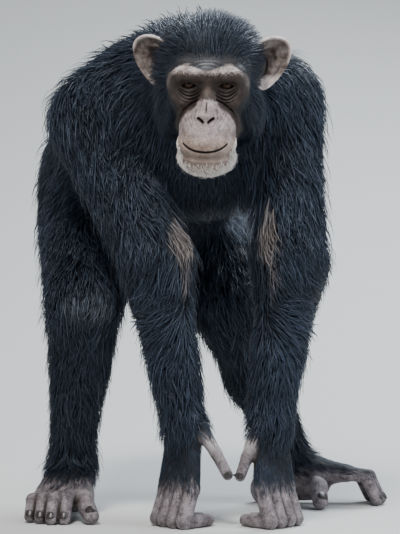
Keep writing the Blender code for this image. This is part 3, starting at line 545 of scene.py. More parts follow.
def head_traits(points):
    """Depth, tuft length and lie of the head's coat, at points in the head's frame."""
    depth = head_coat(points)
    length = np.clip(12 + depth * 2.7, 12, 56)
    return np.hstack([np.stack([depth, length], 1) * MM, head_lie(points)])


def body_field(forms, points):
    """Distance to the bare body and the coat's traits there."""
    d = np.full(len(points), FAR)
    traits = np.zeros((len(points), 5))
    for form in forms:
        other = form.distance(points)
        h = np.clip(0.5 + 0.5 * (d - other) / form.blend, 0, 1)
        d = d + (other - d) * h - form.blend * h * (1 - h)
        some = h > 0
        traits[some] += (form.traits(points[some]) - traits[some]) * h[some, None]
    return d, traits


class Body:
    """All the forms, with the head, ready to be asked for any points."""

    def __init__(self):
        self.forms = trunk_forms()
        for side in "rl":
            self.forms += arm_forms(side) + hand_forms(side)
            self.forms += leg_forms(side) + foot_forms(side)
        self.head_middle = from_head((0, 50, -10))
        self.head_reach = 0.145

    def near(self, middle, reach):
        """The forms that can matter within reach of middle, and whether the head can."""
        found = [
            f
            for f in self.forms
            if np.linalg.norm(f.middle - middle) < f.reach + reach + f.blend + 0.03
        ]
        headed = np.linalg.norm(self.head_middle - middle) < self.head_reach + reach
        return found, headed

    def bare(self, points, near=None):
        """Distance to the skin."""
        return self.both(points, near)[0]

    def both(self, points, near=None):
        found, headed = near or (self.forms, True)
        d, traits = body_field(found, points)
        if headed:
            local = to_head(points)
            head = head_distance(local) * MM
            h = np.clip(0.5 + 0.5 * (d - head) / 0.022, 0, 1)
            d = d + (head - d) * h - 0.022 * h * (1 - h)
            traits = traits + (head_traits(local) - traits) * h[:, None]
        return d, traits

    def in_blocks(self, question, points, block=0.06):
        """Answers for scattered points, asked block by block so that far forms are left out."""
        cell = np.floor(points / block).astype(int)
        _, first, index = np.unique(cell, axis=0, return_index=True, return_inverse=True)
        index = index.reshape(-1)
        order = np.argsort(index, kind="stable")
        edges = np.searchsorted(index[order], np.arange(len(first) + 1))
        answer = None
        for n, start in enumerate(first):
            chosen = order[edges[n] : edges[n + 1]]
            middle = (cell[start] + 0.5) * block
            found = question(points[chosen], self.near(middle, block * 0.87))
            if answer is None:
                answer = np.empty((len(points),) + found.shape[1:])
            answer[chosen] = found
        return answer

    def distance(self, points):
        return self.in_blocks(self.bare, points)

    def coat(self, points):
        """Depth, tuft length and lie at scattered points."""
        return self.in_blocks(lambda p, near: self.both(p, near)[1], points)

    def facing(self, points, step=0.0006):
        """Distance and outward direction of the skin, by differences over a small step."""

        def slope(p, near):
            ends = np.concatenate([p] + [p + step * axis for axis in np.eye(3)])
            d = self.bare(ends, near).reshape(4, -1)
            return np.stack([d[0], *((d[1:] - d[0]) / step)], 1)

        found = self.in_blocks(slope, points)
        return found[:, 0], unit(found[:, 1:])


# Six tetrahedra fill a cube: each is a walk from one corner to the far one, axis by axis.
STEPS = np.eye(3, dtype=int)
TETRAHEDRA = [
    np.array([(0, 0, 0), STEPS[a], STEPS[a] + STEPS[b], (1, 1, 1)])
    for a, b, _ in itertools.permutations(range(3))
]


def zero_surface(field, near, low, high, step, block=20):
    """Points and triangles of field's zero level, by marching the tetrahedra of a grid.

    The grid is walked in blocks, and a block far from the surface is left out.
    """
    low = np.asarray(low, float)
    size = np.ceil((np.asarray(high) - low) / step).astype(int) + 1
    places, keys = [], []
    for first in itertools.product(*(range(0, int(n), block) for n in size)):
        first = np.array(first)
        middle = low + (first + block / 2) * step
        reach = block * step * math.sqrt(3) / 2
        found = near(middle, reach)
        if not found[0] and not found[1]:
            continue
        at_middle = field(middle[None], found)[0]
        if abs(at_middle) > 1.6 * reach + 0.03:
            continue
        index = np.stack(np.meshgrid(*[np.arange(block + 1)] * 3, indexing="ij"), -1)
        grid = index.reshape(-1, 3) + first
        value = field(low + grid * step, found)
        value[value == 0] = 1e-9
        value = value.reshape((block + 1,) * 3)
        cells = np.stack(np.meshgrid(*[np.arange(block)] * 3, indexing="ij"), -1)
        cells = cells.reshape(-1, 3)
        corner = [value[tuple((cells + s).T)] for s in itertools.product((0, 1), repeat=3)]
        inside = sum((c < 0).astype(int) for c in corner)
        cells = cells[(inside > 0) & (inside < 8)]
        if not len(cells):
            continue
        for walk in TETRAHEDRA:
            ends = cells[:, None, :] + walk[None]
            worth = value[tuple(ends.reshape(-1, 3).T)].reshape(-1, 4)
            places_here, keys_here = tetra_faces(ends + first, worth)
            places.append(places_here)
            keys.append(keys_here)
    places, keys = np.concatenate(places), np.concatenate(keys)
    _, kept, index = np.unique(keys.reshape(-1, 6), axis=0, return_index=True, return_inverse=True)
    points = low + places.reshape(-1, 3)[kept] * step
    return points, index.reshape(-1, 3)


def tetra_faces(ends, worth):
    """The triangles that cut tetrahedra, as places on their edges and keys of those edges."""
    below = worth < 0
    count = below.sum(1)
    places, keys = [], []

    def edge(rows, a, b):
        """The zero point between corners a and b of those rows, and a key for the edge."""
        pa, pb = ends[rows, a], ends[rows, b]
        va, vb = worth[rows, a], worth[rows, b]
        t = va / (va - vb)
        t = np.clip(t, 0.002, 0.998)
        place = pa + t[:, None] * (pb - pa)
        swap = (pa * (4000 * 4000, 4000, 1)).sum(1) > (pb * (4000 * 4000, 4000, 1)).sum(1)
        key = np.where(swap[:, None], np.hstack([pb, pa]), np.hstack([pa, pb]))
        place = np.where(swap[:, None], pb + (1 - t)[:, None] * (pa - pb), place)
        return place, key

    def add(rows, edges, outward):
        found = [edge(rows, a, b) for a, b in edges]
        place = np.stack([f[0] for f in found], 1)
        key = np.stack([f[1] for f in found], 1)
        normal = np.cross(place[:, 1] - place[:, 0], place[:, 2] - place[:, 0])
        wrong = (normal * outward).sum(1) < 0
        place[wrong] = place[wrong][:, ::-1]
        key[wrong] = key[wrong][:, ::-1]
        places.append(place)
        keys.append(key)

    for lone in range(4):
        others = [n for n in range(4) if n != lone]
        for sign, total in ((1, 1), (-1, 3)):
            rows = np.flatnonzero((count == total) & (below[:, lone] == (total == 1)))
            if len(rows):
                outward = sign * (ends[rows][:, others].mean(1) - ends[rows, lone])
                add(rows, [(lone, n) for n in others], outward)
    for i, j in itertools.combinations(range(4), 2):
        a, b = (n for n in range(4) if n not in (i, j))
        rows = np.flatnonzero((count == 2) & below[:, i] & below[:, j])
        if len(rows):
            outward = ends[rows][:, [a, b]].mean(1) - ends[rows][:, [i, j]].mean(1)
            add(rows, [(i, a), (i, b), (j, b)], outward)
            add(rows, [(i, a), (j, b), (j, a)], outward)
    if not places:
        return np.empty((0, 3, 3)), np.empty((0, 3, 6), int)
    return np.concatenate(places), np.concatenate(keys)


def mesh_object(name, points, faces):
    """A mesh object from arrays of points and of triangles."""
    points, faces = np.asarray(points, np.float32), np.asarray(faces, np.int32)
    mesh = bpy.data.meshes.new(name)
    mesh.vertices.add(len(points))
    mesh.vertices.foreach_set("co", points.ravel())
    mesh.loops.add(faces.size)
    mesh.loops.foreach_set("vertex_index", faces.ravel())
    mesh.polygons.add(len(faces))
    mesh.polygons.foreach_set("loop_start", np.arange(0, faces.size, faces.shape[1]))
    mesh.update(calc_edges=True)
    mesh.polygons.foreach_set("use_smooth", np.ones(len(faces), bool))
    thing = bpy.data.objects.new(name, mesh)
    bpy.context.scene.collection.objects.link(thing)
    return thing


def arrays(thing):
    """An object's points, and its faces split into triangles."""
    mesh = thing.data
    points = np.empty(len(mesh.vertices) * 3)
    mesh.vertices.foreach_get("co", points)
    mesh.calc_loop_triangles()
    faces = np.empty(len(mesh.loop_triangles) * 3, int)
    mesh.loop_triangles.foreach_get("vertices", faces)
    return points.reshape(-1, 3), faces.reshape(-1, 3)


def remove(thing):
    mesh = thing.data
    bpy.data.objects.remove(thing)
    bpy.data.meshes.remove(mesh)


def with_modifier(thing, kind, **settings):
    """The object with one modifier applied to its mesh."""
    modifier = thing.modifiers.new(kind, kind)
    for name, value in settings.items():
        setattr(modifier, name, value)
    graph = bpy.context.evaluated_depsgraph_get()
    mesh = bpy.data.meshes.new_from_object(thing.evaluated_get(graph))
    thing.modifiers.clear()
    old = thing.data
    thing.data = mesh
    bpy.data.meshes.remove(old)
    return thing


def combined(thing, other, operation):
    with_modifier(thing, "BOOLEAN", object=other, operation=operation, solver="MANIFOLD")
    remove(other)


def box_object(low, high):
    corners = np.array(list(itertools.product((0, 1), repeat=3)))
    points = np.asarray(low) + corners * (np.asarray(high) - np.asarray(low))
    faces = [(0, 1, 3, 2), (4, 6, 7, 5), (0, 4, 5, 1), (2, 3, 7, 6), (0, 2, 6, 4), (1, 5, 7, 3)]
    return mesh_object("box", points, faces)


def add_attribute(thing, name, values):
    layer = thing.data.attributes.new(name, "FLOAT", "POINT")
    layer.data.foreach_set("value", np.asarray(values, np.float32))


# The skin: a box about each part with fine forms, the step of its grid and its triangles
FINE = {
    "face": ((-0.062, -0.290, 0.512), (0.084, -0.120, 0.706), 0.0011, 120000),
    "hand_right": ((-0.100, -0.110, -0.010), (0.0500, 0.045, 0.166), 0.0018, 17000),
    "hand_left": ((0.0500, -0.110, -0.010), (0.190, 0.045, 0.166), 0.0018, 17000),
    "foot_right": ((-0.300, -0.080, -0.010), (-0.100, 0.185, 0.105), 0.0019, 15000),
    "foot_left": ((0.075, 0.100, -0.010), (0.330, 0.320, 0.105), 0.0019, 15000),
}
SKIN_BOX = ((-0.30, -0.29, 0.0), (0.33, 0.48, 0.79))
SKIN_STEP, SKIN_COUNT = 0.005, 36000
COARSE = 1.0


def surface_in(body, low, high, step, count):
    """The skin's closed surface inside a box, flat on the ground, thinned to count triangles."""
    low, high = np.asarray(low, float), np.asarray(high, float)

    def boxed(points, near):
        outside = np.maximum(low - points, points - high).max(1)
        return np.maximum(np.maximum(body.bare(points, near), outside), -points[:, 2])

    points, faces = zero_surface(boxed, body.near, low - 1.37 * step, high + 1.61 * step, step)
    thing = mesh_object("part", points, faces)
    return with_modifier(thing, "DECIMATE", ratio=min(1.0, count / len(faces)))


def skin_surface(body):
    """Points and triangles of the whole skin: fine blocks set into a coarser body."""
    step = SKIN_STEP * COARSE
    whole = surface_in(body, *SKIN_BOX, step, SKIN_COUNT / COARSE**2)
    for low, high, step, count in FINE.values():
        low, high = np.array(low), np.array(high)
        lap, rim = 0.0005, 3 * step * COARSE
        combined(whole, box_object(low + lap, high - lap), "DIFFERENCE")
        part = surface_in(body, low - rim, high + rim, step * COARSE, count / COARSE**2)
        combined(part, box_object(low, high), "INTERSECT")
        combined(whole, part, "UNION")
    with_modifier(whole, "WELD", merge_threshold=0.25 * MM)
    points, faces = arrays(whole)
    remove(whole)
    grounded = points[:, 2] < 0.3 * MM
    for _ in range(2):
        d, facing = body.facing(points)
        move = np.clip(d, -0.8 * MM, 0.8 * MM)[:, None] * facing
        move[grounded] = 0
        points = points - move
    points[grounded, 2] = 0
    return points, faces


def hand_mask(side, points):
    """1 on the bare skin of a hand and its thumb, 0 where the coat starts."""
    wrist = JOINTS["wrist_" + side]
    bare = smooth(0.073, 0.050, points[:, 2] + 0.006 * wave(points, 0.02, 8))
    bare = bare * (np.linalg.norm(points[:, :2] - wrist[:2], axis=1) < 0.11)
    return np.maximum(bare, thumb_mask(side, points) * smooth(0.146, 0.128, points[:, 2]))


def thumb_mask(side, points):
    base, middle, tip = THUMBS[side]
    thumb = cone_distance(points, base, middle, 0.012, 0.012)
    thumb = np.minimum(thumb, cone_distance(points, middle, tip, 0.012, 0.012))
    return smooth(0.002, -0.001, thumb)


def foot_mask(side, points):
    ankle = JOINTS["ankle_" + side]
    bare = smooth(0.064, 0.044, points[:, 2] + 0.006 * wave(points, 0.02, 9))
    return bare * (np.linalg.norm(points[:, :2] - ankle[:2], axis=1) < 0.20)


def hollow_shade(body, points, facing):
    """How hemmed in the skin is: what the field lacks of each distance out from the skin. The skin is
    darkened by it as painted shade in hollows, grooves and between the fingers and toes.
    """
    total = np.zeros(len(points))
    for out in (2.5 * MM, 7 * MM):
        d = body.distance(points + facing * out)
        total += np.clip(1 - d / out, 0, 1) * 0.6
    return total


def creased(points):
    """Place along the nearest finger or toe in millimetres, and how near one of its joints."""
    along, nearest, joint = np.zeros(len(points)), np.full(len(points), FAR), np.zeros(len(points))
    chains = [finger_points(side, n) for side in "rl" for n in range(4)]
    chains += [toe_points(side, n) for side in "rl" for n in range(4)]
    chains += [hallux_points(side) for side in "rl"]
    chains += [[np.array(p) for p in THUMBS[side]] for side in "rl"]
    for chain in chains:
        before = 0
        for start, end in zip(chain[:-1], chain[1:]):
            axis = end - start
            reach = np.linalg.norm(axis)
            t = (points - start) @ axis / reach**2
            off = cone_distance(points, start, end, 0.010, 0.010)
            nearer = off < nearest
            nearest = np.where(nearer, off, nearest)
            along = np.where(nearer, (before + t * reach) / MM, along)
            ends = np.minimum(np.abs(t), np.abs(1 - t)) * reach / MM
            joint = np.where(nearer, smooth(13, 4, ends), joint)
            before += reach
    return along, joint * smooth(0.006, 0.0, nearest)


def skin_traits(body, points, facing):
    """What the skin's colours follow, at every point."""
    local = to_head(points)
    in_head = np.linalg.norm(points - body.head_middle, axis=1) < 0.19
    palms = np.zeros(len(points))
    for side in "rl":
        palms = np.maximum(palms, np.maximum(hand_mask(side, points), foot_mask(side, points)))
    along, joint = creased(points)
    return {
        "edge": np.where(in_head, np.clip(face_edge(local), -30, 60), 60),
        "palms": palms,
        "patches": bare_patches(points, PATCHES),
        "lit_patch": bare_patches(points, LIT_PATCHES),
        "hollow_shade": hollow_shade(body, points, facing),
        "finger": along,
        "joint": joint * palms,
        "thumb": np.maximum(thumb_mask("r", points), thumb_mask("l", points)),
    }


# Places where the coat is thin: middle, radii and how bare
PATCHES = (
    ((-0.022, -0.045, 0.424), (0.023, 0.060, 0.040), 0.95),
    ((-0.020, -0.040, 0.372), (0.011, 0.050, 0.036), 0.35),
    ((0.100, -0.040, 0.424), (0.017, 0.050, 0.042), 0.95),
    ((0.108, -0.045, 0.370), (0.010, 0.040, 0.038), 0.35),
)
# Pools of painted light on the chest and by the right knee, where the coat is also thin: middle, radii
# and how strong
LIT_PATCHES = (
    ((0.062, 0.150, 0.440), (0.022, 0.300, 0.032), 1.0),
    ((-0.165, 0.045, 0.312), (0.038, 0.050, 0.018), 0.30),
)


def bare_patches(points, patches):
    """How bare the skin is in each patch: an egg shape that fades to its outline."""
    bare = np.zeros(len(points))
    for middle, radii, most in patches:
        k = np.linalg.norm((points - middle) / radii, axis=1) + 0.30 * wave(points, 0.015, 21)
        bare = np.maximum(bare, most * smooth(1.15, 0.55, k))
    return bare


def unwrapped(thing):
    """Gives the skin a flat map of its own shape, by Blender's smart projection."""
    bpy.context.view_layer.objects.active = thing
    thing.select_set(True)
    bpy.ops.object.mode_set(mode="EDIT")
    bpy.ops.mesh.select_all(action="SELECT")
    bpy.ops.uv.smart_project(angle_limit=math.radians(66), island_margin=0.004)
    bpy.ops.object.mode_set(mode="OBJECT")
    thing.select_set(False)
    places = np.empty(len(thing.data.loops) * 2, np.float32)
    thing.data.uv_layers.active.data.foreach_get("uv", places)
    return places.reshape(-1, 3, 2)


# The coat: tufts for each square metre of skin, shares of a tuft's length where its rings are,
# and shares of the coat's depth that the later rings reach
TUFTS_PER_M2 = 88000
RINGS = (0.0, 0.35, 0.70, 1.0)
HEIGHTS = (0.58, 0.90, 1.0)


# How much lighter the coat is on these parts than elsewhere: a painted sheen on the forearms and back,
# and painted shade on the thighs, shins and belly
SHEEN_AND_SHADE = {"forearm": 0.30, "back": 0.10, "thigh": -0.20, "shin": -0.30, "belly": -0.30}


def region_of(points):
    """The part of the body that each point is nearest to."""
    j = JOINTS
    bones = {"crown": (from_head((0, 50, 50)), from_head((0, 110, 50)), 0.04)}
    bones["head_left"] = (from_head((30, 70, 10)), from_head((30, 10, -80)), 0.05)
    bones["head_right"] = (from_head((-30, 70, 10)), from_head((-30, 10, -80)), 0.05)
    bones["neck"] = (j["skull"], j["nape"], 0.07)
    bones["back"] = (j["withers"] + (0, 0, 0.02), (-0.08, 0.20, 0.60), 0.11)
    bones["rump"] = (np.array((-0.09, 0.26, 0.59)), (-0.1, 0.34, 0.58), 0.11)
    bones["belly"] = ((0.02, 0.07, 0.50), (-0.06, 0.24, 0.46), 0.06)
    for side, s in (("left", "l"), ("right", "r")):
        bones["upper_arm_" + side] = (j["shoulder_" + s], j["elbow_" + s], 0.045)
        bones["forearm_" + side] = (j["elbow_" + s], j["wrist_" + s], 0.027)
        bones["thigh_" + side] = (j["hip_" + s], j["knee_" + s], 0.06)
        bones["shin_" + side] = (j["knee_" + s], j["ankle_" + s], 0.033)
    far = [cone_distance(points, a, b, r, r) for a, b, r in bones.values()]
    return np.array(list(bones))[np.argmin(far, axis=0)]


def wave(points, length, seed):
    """A smooth pattern from -1 to 1 over space: sines along five random directions."""
    draw = np.random.default_rng(seed)
    total = np.zeros(len(points))
    for _ in range(5):
        way = unit(draw.normal(size=3)) * 2 * math.pi / length * draw.uniform(0.7, 1.4)
        total += np.sin(points @ way + draw.uniform(0, 2 * math.pi))
    return total / 3


def scattered_roots(points, faces, places, density, draw):
    """Random roots, so many for each square metre: place, and place on the skin's flat map."""
    corners = points[faces]
    area = np.cross(corners[:, 1] - corners[:, 0], corners[:, 2] - corners[:, 0])
    area = np.linalg.norm(area, axis=1) / 2
    share = area * density[faces].mean(1)
    count = int(share.sum())
    edges = np.cumsum(share) / share.sum()
    chosen = np.searchsorted(edges, (np.arange(count) + draw.uniform(size=count)) / count)
    chosen = np.minimum(chosen, len(faces) - 1)
    a, b = draw.uniform(size=(2, count))
    over = a + b > 1
    a, b = np.where(over, 1 - a, a), np.where(over, 1 - b, b)
    weight = np.stack([1 - a - b, a, b], 1)[:, :, None]
    return (corners[chosen] * weight).sum(1), (places[chosen] * weight).sum(1)


def flat_to(ways, facing, keep=0.0):
    """Directions laid along the skin, with a share of what they had away from it."""
    off = (ways * facing).sum(1, keepdims=True)
    return unit(ways - (1 - keep) * off * facing)


def combed(body, roots, traits, calm, draw):
    """The tufts' spines (tuft, ring, xyz), the ways out of the skin there, and lengths.

    Each spine starts just under the skin and walks along the lie; at each ring it is set to its
    share of the coat's depth above the skin there, so that it follows the body's curves. A calm
    coat is turned and lifted less, and one tuft in twelve stands out from the rest.
    """
    depth, length, lie = traits[:, 0], traits[:, 1], traits[:, 2:]
    _, facing = body.facing(roots)
    count = len(roots)
    length = length * draw.uniform(0.65, 1.15, count)
    stray = (draw.uniform(size=count) < 1 / 12) * draw.uniform(0.2, 0.7, count) * calm
    full = depth * (draw.uniform(0.45, 1.0, count) + stray)
    swing = np.cross(facing, lie)
    turn = 0.30 * wave(roots, 0.050, 3) + draw.normal(0, 0.13, count)
    way = flat_to(unit(lie) + swing * (turn * calm)[:, None], facing, 0.15)
    place = roots - facing * 0.8 * MM
    spine, ups = [place], [facing]
    bend = 0.16 * wave(roots, 0.020, 5) + draw.normal(0, 0.10, count)
    bend = bend * calm
    for before, now, share in zip(RINGS[:-1], RINGS[1:], HEIGHTS):
        step = (now - before) * length
        place = place + way * step[:, None]
        d, facing = body.facing(place)
        height = full * share
        place = place + facing * ((height - d) * 0.9)[:, None]
        place[:, 2] = np.maximum(place[:, 2], 1.2 * MM)
        swing = np.cross(facing, way)
        way = flat_to(way + swing * bend[:, None], facing, 0.1)
        spine.append(place)
        ups.append(facing)
    return np.stack(spine, 1), np.stack(ups, 1), length


def tuft_mesh(name, spine, ups, width, thick, tone, places):
    """Joined blades of three sides: a ring at each place of the spine and a point at its tip."""
    count, rings = spine.shape[:2]
    along = np.diff(spine, axis=1)
    along = unit(np.concatenate([along, along[:, -1:]], 1))
    side = unit(np.cross(along, ups))
    up = unit(np.cross(side, along))
    share = np.array(RINGS)[:-1]
    taper = (1 - share**1.6 * 0.55)[None, :, None]
    w, t = width[:, None, None] * taper / 2, thick[:, None, None] * taper
    body = spine[:, :-1]
    side, up = side[:, :-1], up[:, :-1]
    ring = np.stack([body - side * w, body + up * t, body + side * w], 2)
    points = np.concatenate([ring.reshape(count, -1, 3), spine[:, -1:]], 1)
    per = points.shape[1]
    faces = [(0, 1, 2)]
    for r in range(rings - 2):
        for k in range(3):
            a, b = 3 * r + k, 3 * r + (k + 1) % 3
            faces += [(b, a, a + 3), (b, a + 3, b + 3)]
    last = 3 * (rings - 2)
    faces += [(last + (k + 1) % 3, last + k, per - 1) for k in range(3)]
    faces = np.array(faces)
    every = (faces[None] + np.arange(count)[:, None, None] * per).reshape(-1, 3)
    thing = mesh_object(name, points.reshape(-1, 3), every)
    across = np.append(np.tile((0.0, 0.5, 1.0), rings - 1), 0.5)
    length = np.append(np.repeat(share, 3), 1.0)
    add_attribute(thing, "tone", np.repeat(tone, per))
    add_attribute(thing, "across", np.tile(across, count))
    add_attribute(thing, "along", np.tile(length, count))
    spot = places[:, None] + 0.003 * (np.stack([across, length], 1) - 0.5)[None]
    layer = thing.data.uv_layers.new(name="OFBake")
    layer.data.foreach_set("uv", spot.reshape(-1, 2)[every.ravel()].astype(np.float32).ravel())
    return thing


def coat_pieces(body, points, faces, places, skin):
    """The body's coat, one piece for each part of the body."""
    draw = np.random.default_rng(11)
    hairy = smooth(-1.5, 1.5, skin["edge"]) * (1 - skin["palms"])
    hairy = hairy * (1 + 1.3 * smooth(45, 20, skin["edge"]))
    hairy = hairy * (1 - 0.65 * np.maximum(skin["patches"], skin["lit_patch"]))
    x, y, z = to_head(points).T
    chin = smooth(-94, -104, z) * smooth(14, 4, y) * (skin["edge"] < 40)
    forehead = bell(x, 13.0) * bell(z - 31, 5.5) * smooth(20, 8, y) * (skin["edge"] < 40)
    hairy = hairy * (1 - chin) * (1 - 0.85 * forehead) * smooth(0.0, 0.02, points[:, 2])
    roots, spots = scattered_roots(points, faces, places, hairy * TUFTS_PER_M2, draw)
    calm = smooth(0.10, 0.16, np.linalg.norm(roots - body.head_middle, axis=1)) * 0.75 + 0.25
    spine, ups, length = combed(body, roots, body.coat(roots), calm, draw)
    width = np.clip(length * 0.040, 0.7 * MM, 2.5 * MM) * draw.uniform(0.7, 1.25, len(roots))
    width *= 0.62 + 0.38 * smooth(0.4, 0.9, calm)
    region = region_of(roots)
    # Painted sheen and shade, by region.
    light = np.array([SHEEN_AND_SHADE.get(name.split("_")[0], 0.0) for name in region])
    tone = draw.uniform(size=len(roots)) + light + 0.22 * wave(roots, 0.035, 6)
    beside = smooth(34, 6, np.clip(face_edge(to_head(roots)), -30, 60)) * (calm < 0.9)
    tone = np.clip(tone - 0.55 * beside, 0, 1.5)
    warm = bare_patches(spine[:, 2], PATCHES)
    lit_patch = bare_patches(spine[:, 2], LIT_PATCHES)
    pieces = []
    for name in np.unique(region):
        of = region == name
        piece = tuft_mesh(
            "coat_" + name, spine[of], ups[of], width[of], width[of] * 0.35, tone[of], spots[of]
        )
        per = len(piece.data.vertices) // of.sum()
        add_attribute(piece, "warm", np.repeat(warm[of], per))
        add_attribute(piece, "lit_patch", np.repeat(lit_patch[of], per))
        pieces.append(piece)
    return pieces


def beard(body, points, faces, places):
    """Short white tufts round the chin and lower lip that stand out from the face's middle."""
    draw = np.random.default_rng(12)
    share = beard_share(to_head(points)) * (np.linalg.norm(points - body.head_middle, axis=1) < 0.19)
    roots, spots = scattered_roots(points, faces, places, share * BEARD_PER_M2, draw)
    local = to_head(roots)
    lie = unit(local * (1, 0, 1) - (0, 12, BEARD_MIDDLE)) + (0, -0.15, -0.75)
    lie = unit(lie) @ HEAD_TURN.T
    low = smooth(-13, -2, face_edge(local)) * smooth(-74, -104, local[:, 2])
    traits = np.hstack([np.stack([2.0 + 5.0 * low, 6.5 + 9.5 * low], 1) * MM, lie])
    clump = np.clip(wave(roots, 0.0065, 31), -1, 1)
    traits[:, 1] *= 1.05 + 0.70 * clump
    traits[:, 2:] += 0.45 * clump[:, None] * np.cross(traits[:, 2:], (0, 1, 0))
    spine, ups, length = combed(body, roots, traits, np.full(len(roots), 0.8), draw)
    width = draw.uniform(0.45, 0.95, len(roots)) * MM
    tone = draw.uniform(size=len(roots))
    return tuft_mesh("beard", spine, ups, width, width * 0.4, tone, spots)


BEARD_MIDDLE = -76.0
BEARD_PER_M2 = 460000


def beard_share(local):
    """Where the white beard grows: the rim of the face below the corners of the mouth."""
    x, y, z = np.abs(local[:, 0]), local[:, 1], local[:, 2]
    wide = 5.5 * smooth(-104, -88, z)
    out = (face_edge(local) + 5 + wide) / 5
    rim = smooth(0, 1, out) * smooth(3, 0, face_edge(local))
    chin = np.maximum(0.20 * (y < 0), 0.8 * smooth(-108, -114, z)) * smooth(-92, -104, z)
    return np.maximum(rim, chin) * smooth(-68, -78, z) * smooth(14, 6, y)


def nail_places():
    """Tip, axis, the way the nail faces, and the radius there, of each toe and thumb."""
    for side in "rl":
        _, along, inward, _ = foot_frame(side)
        for n in range(4):
            _, bent, tip = toe_points(side, n)
            yield tip, bent, along + (0, 0, 0.3), 0.0094
        _, middle, tip = hallux_points(side)
        yield tip, middle, np.array((0, 0, 1.0)) + 0.3 * along, 0.0124
        _, middle, tip = (np.array(p) for p in THUMBS[side])
        yield tip, middle, np.array((0, -1.0, 0.4)), 0.0079


def nails():
    """A bent plate with a rounded outline on each toe and thumb, sunk in at its rim."""
    steps = np.linspace(-1, 1, 13)
    s, t = (grid.ravel() for grid in np.meshgrid(steps, steps))
    s, t = s * np.sqrt(1 - t * t / 2), t * np.sqrt(1 - s * s / 2)
    index = np.arange(169).reshape(13, 13)
    a, b, c, d = index[:-1, :-1], index[:-1, 1:], index[1:, 1:], index[1:, :-1]
    plate = np.stack([a, b, c, d], -1).reshape(-1, 4)
    points, faces = [], []
    for tip, before, way, radius in nail_places():
        axis = unit(tip - before)
        up = unit(way - (way @ axis) * axis)
        across = np.cross(axis, up)
        out = radius * (1.0 + 0.10 * np.sqrt(np.clip(1 - s * s - t * t, 0, 1)))
        turn = s * 0.80
        ring = np.sin(turn)[:, None] * across + np.cos(turn)[:, None] * up
        faces.append(plate + 169 * len(points))
        points.append(tip + axis * (t * 0.62 * radius - 0.1 * radius)[:, None] + ring * out[:, None])
    thing = mesh_object("nails", np.concatenate(points), np.concatenate(faces))
    with_modifier(thing, "SOLIDIFY", thickness=0.8 * MM, offset=-1.0)
    return thing


def revolved(profile, around):
    """Rings about the y axis from (radius, y) rows; the formula of a lathe."""
    profile = np.asarray(profile, float)
    turn = np.linspace(0, 2 * math.pi, around, endpoint=False)
    ring = np.stack([np.cos(turn), np.zeros(around), np.sin(turn)], 1)
    points = profile[:, :1, None] * ring[None] + profile[:, 1:2, None] * (0, 1, 0)
    rows, count = len(profile), around
    index = np.arange(rows * count).reshape(rows, count)
    a, b = index[:-1], index[1:]
    faces = np.stack([a, np.roll(a, -1, 1), np.roll(b, -1, 1), b], -1).reshape(-1, 4)
    return points.reshape(-1, 3), faces


def eyeball(name, sign):
    """The ball with its clear bulge in front: a sphere's profile with a small cap on it."""
    tilt = np.linspace(0.001, math.pi, 40)
    radius = EYE_RADIUS * (1 + 0.045 * smooth(0.62, 0.25, tilt))
    profile = np.stack([radius * np.sin(tilt), -radius * np.cos(tilt)], 1)
    points, faces = revolved(profile, 48)
    gaze = unit(np.array((0.0, -4.0, 0.55)) - from_head(EYE * (sign, 1, 1)))
    look = np.array(Vector(-gaze).to_track_quat("Y", "Z").to_matrix())
    points = points * MM @ look.T + from_head(EYE * (sign, 1, 1))
    thing = mesh_object(name, points, faces)
    with_modifier(thing, "WELD", merge_threshold=0.02 * MM)
    return thing, look


# Between which heights the rim turns pale, a painted highlight where its upper part takes the light,
# and how pale the lobe is: the one on the animal's right is painted in shade, as dark as the hair
# beside it.
EAR_LIGHT_AND_SHADE = {1: (-8, 12, 0.75), -1: (8, 22, 0.05)}


def ear_cup(share):
    """Depth of the cup: a bowl with the low ridge that runs inside the rim."""
    return 15 * share**2 - 10 + 2.6 * math.exp(-(((share - 0.64) / 0.10) ** 2))


def ear_outline(turn):
    """The ear's outline about its middle: broad above, drawn down and in to a lobe."""
    wide = 31 * (1 + 0.36 * np.sin(turn))
    drawn_in = 5 * np.minimum(np.sin(turn), 0) ** 2
    return wide * np.cos(turn) - drawn_in, 38 * np.sin(turn)


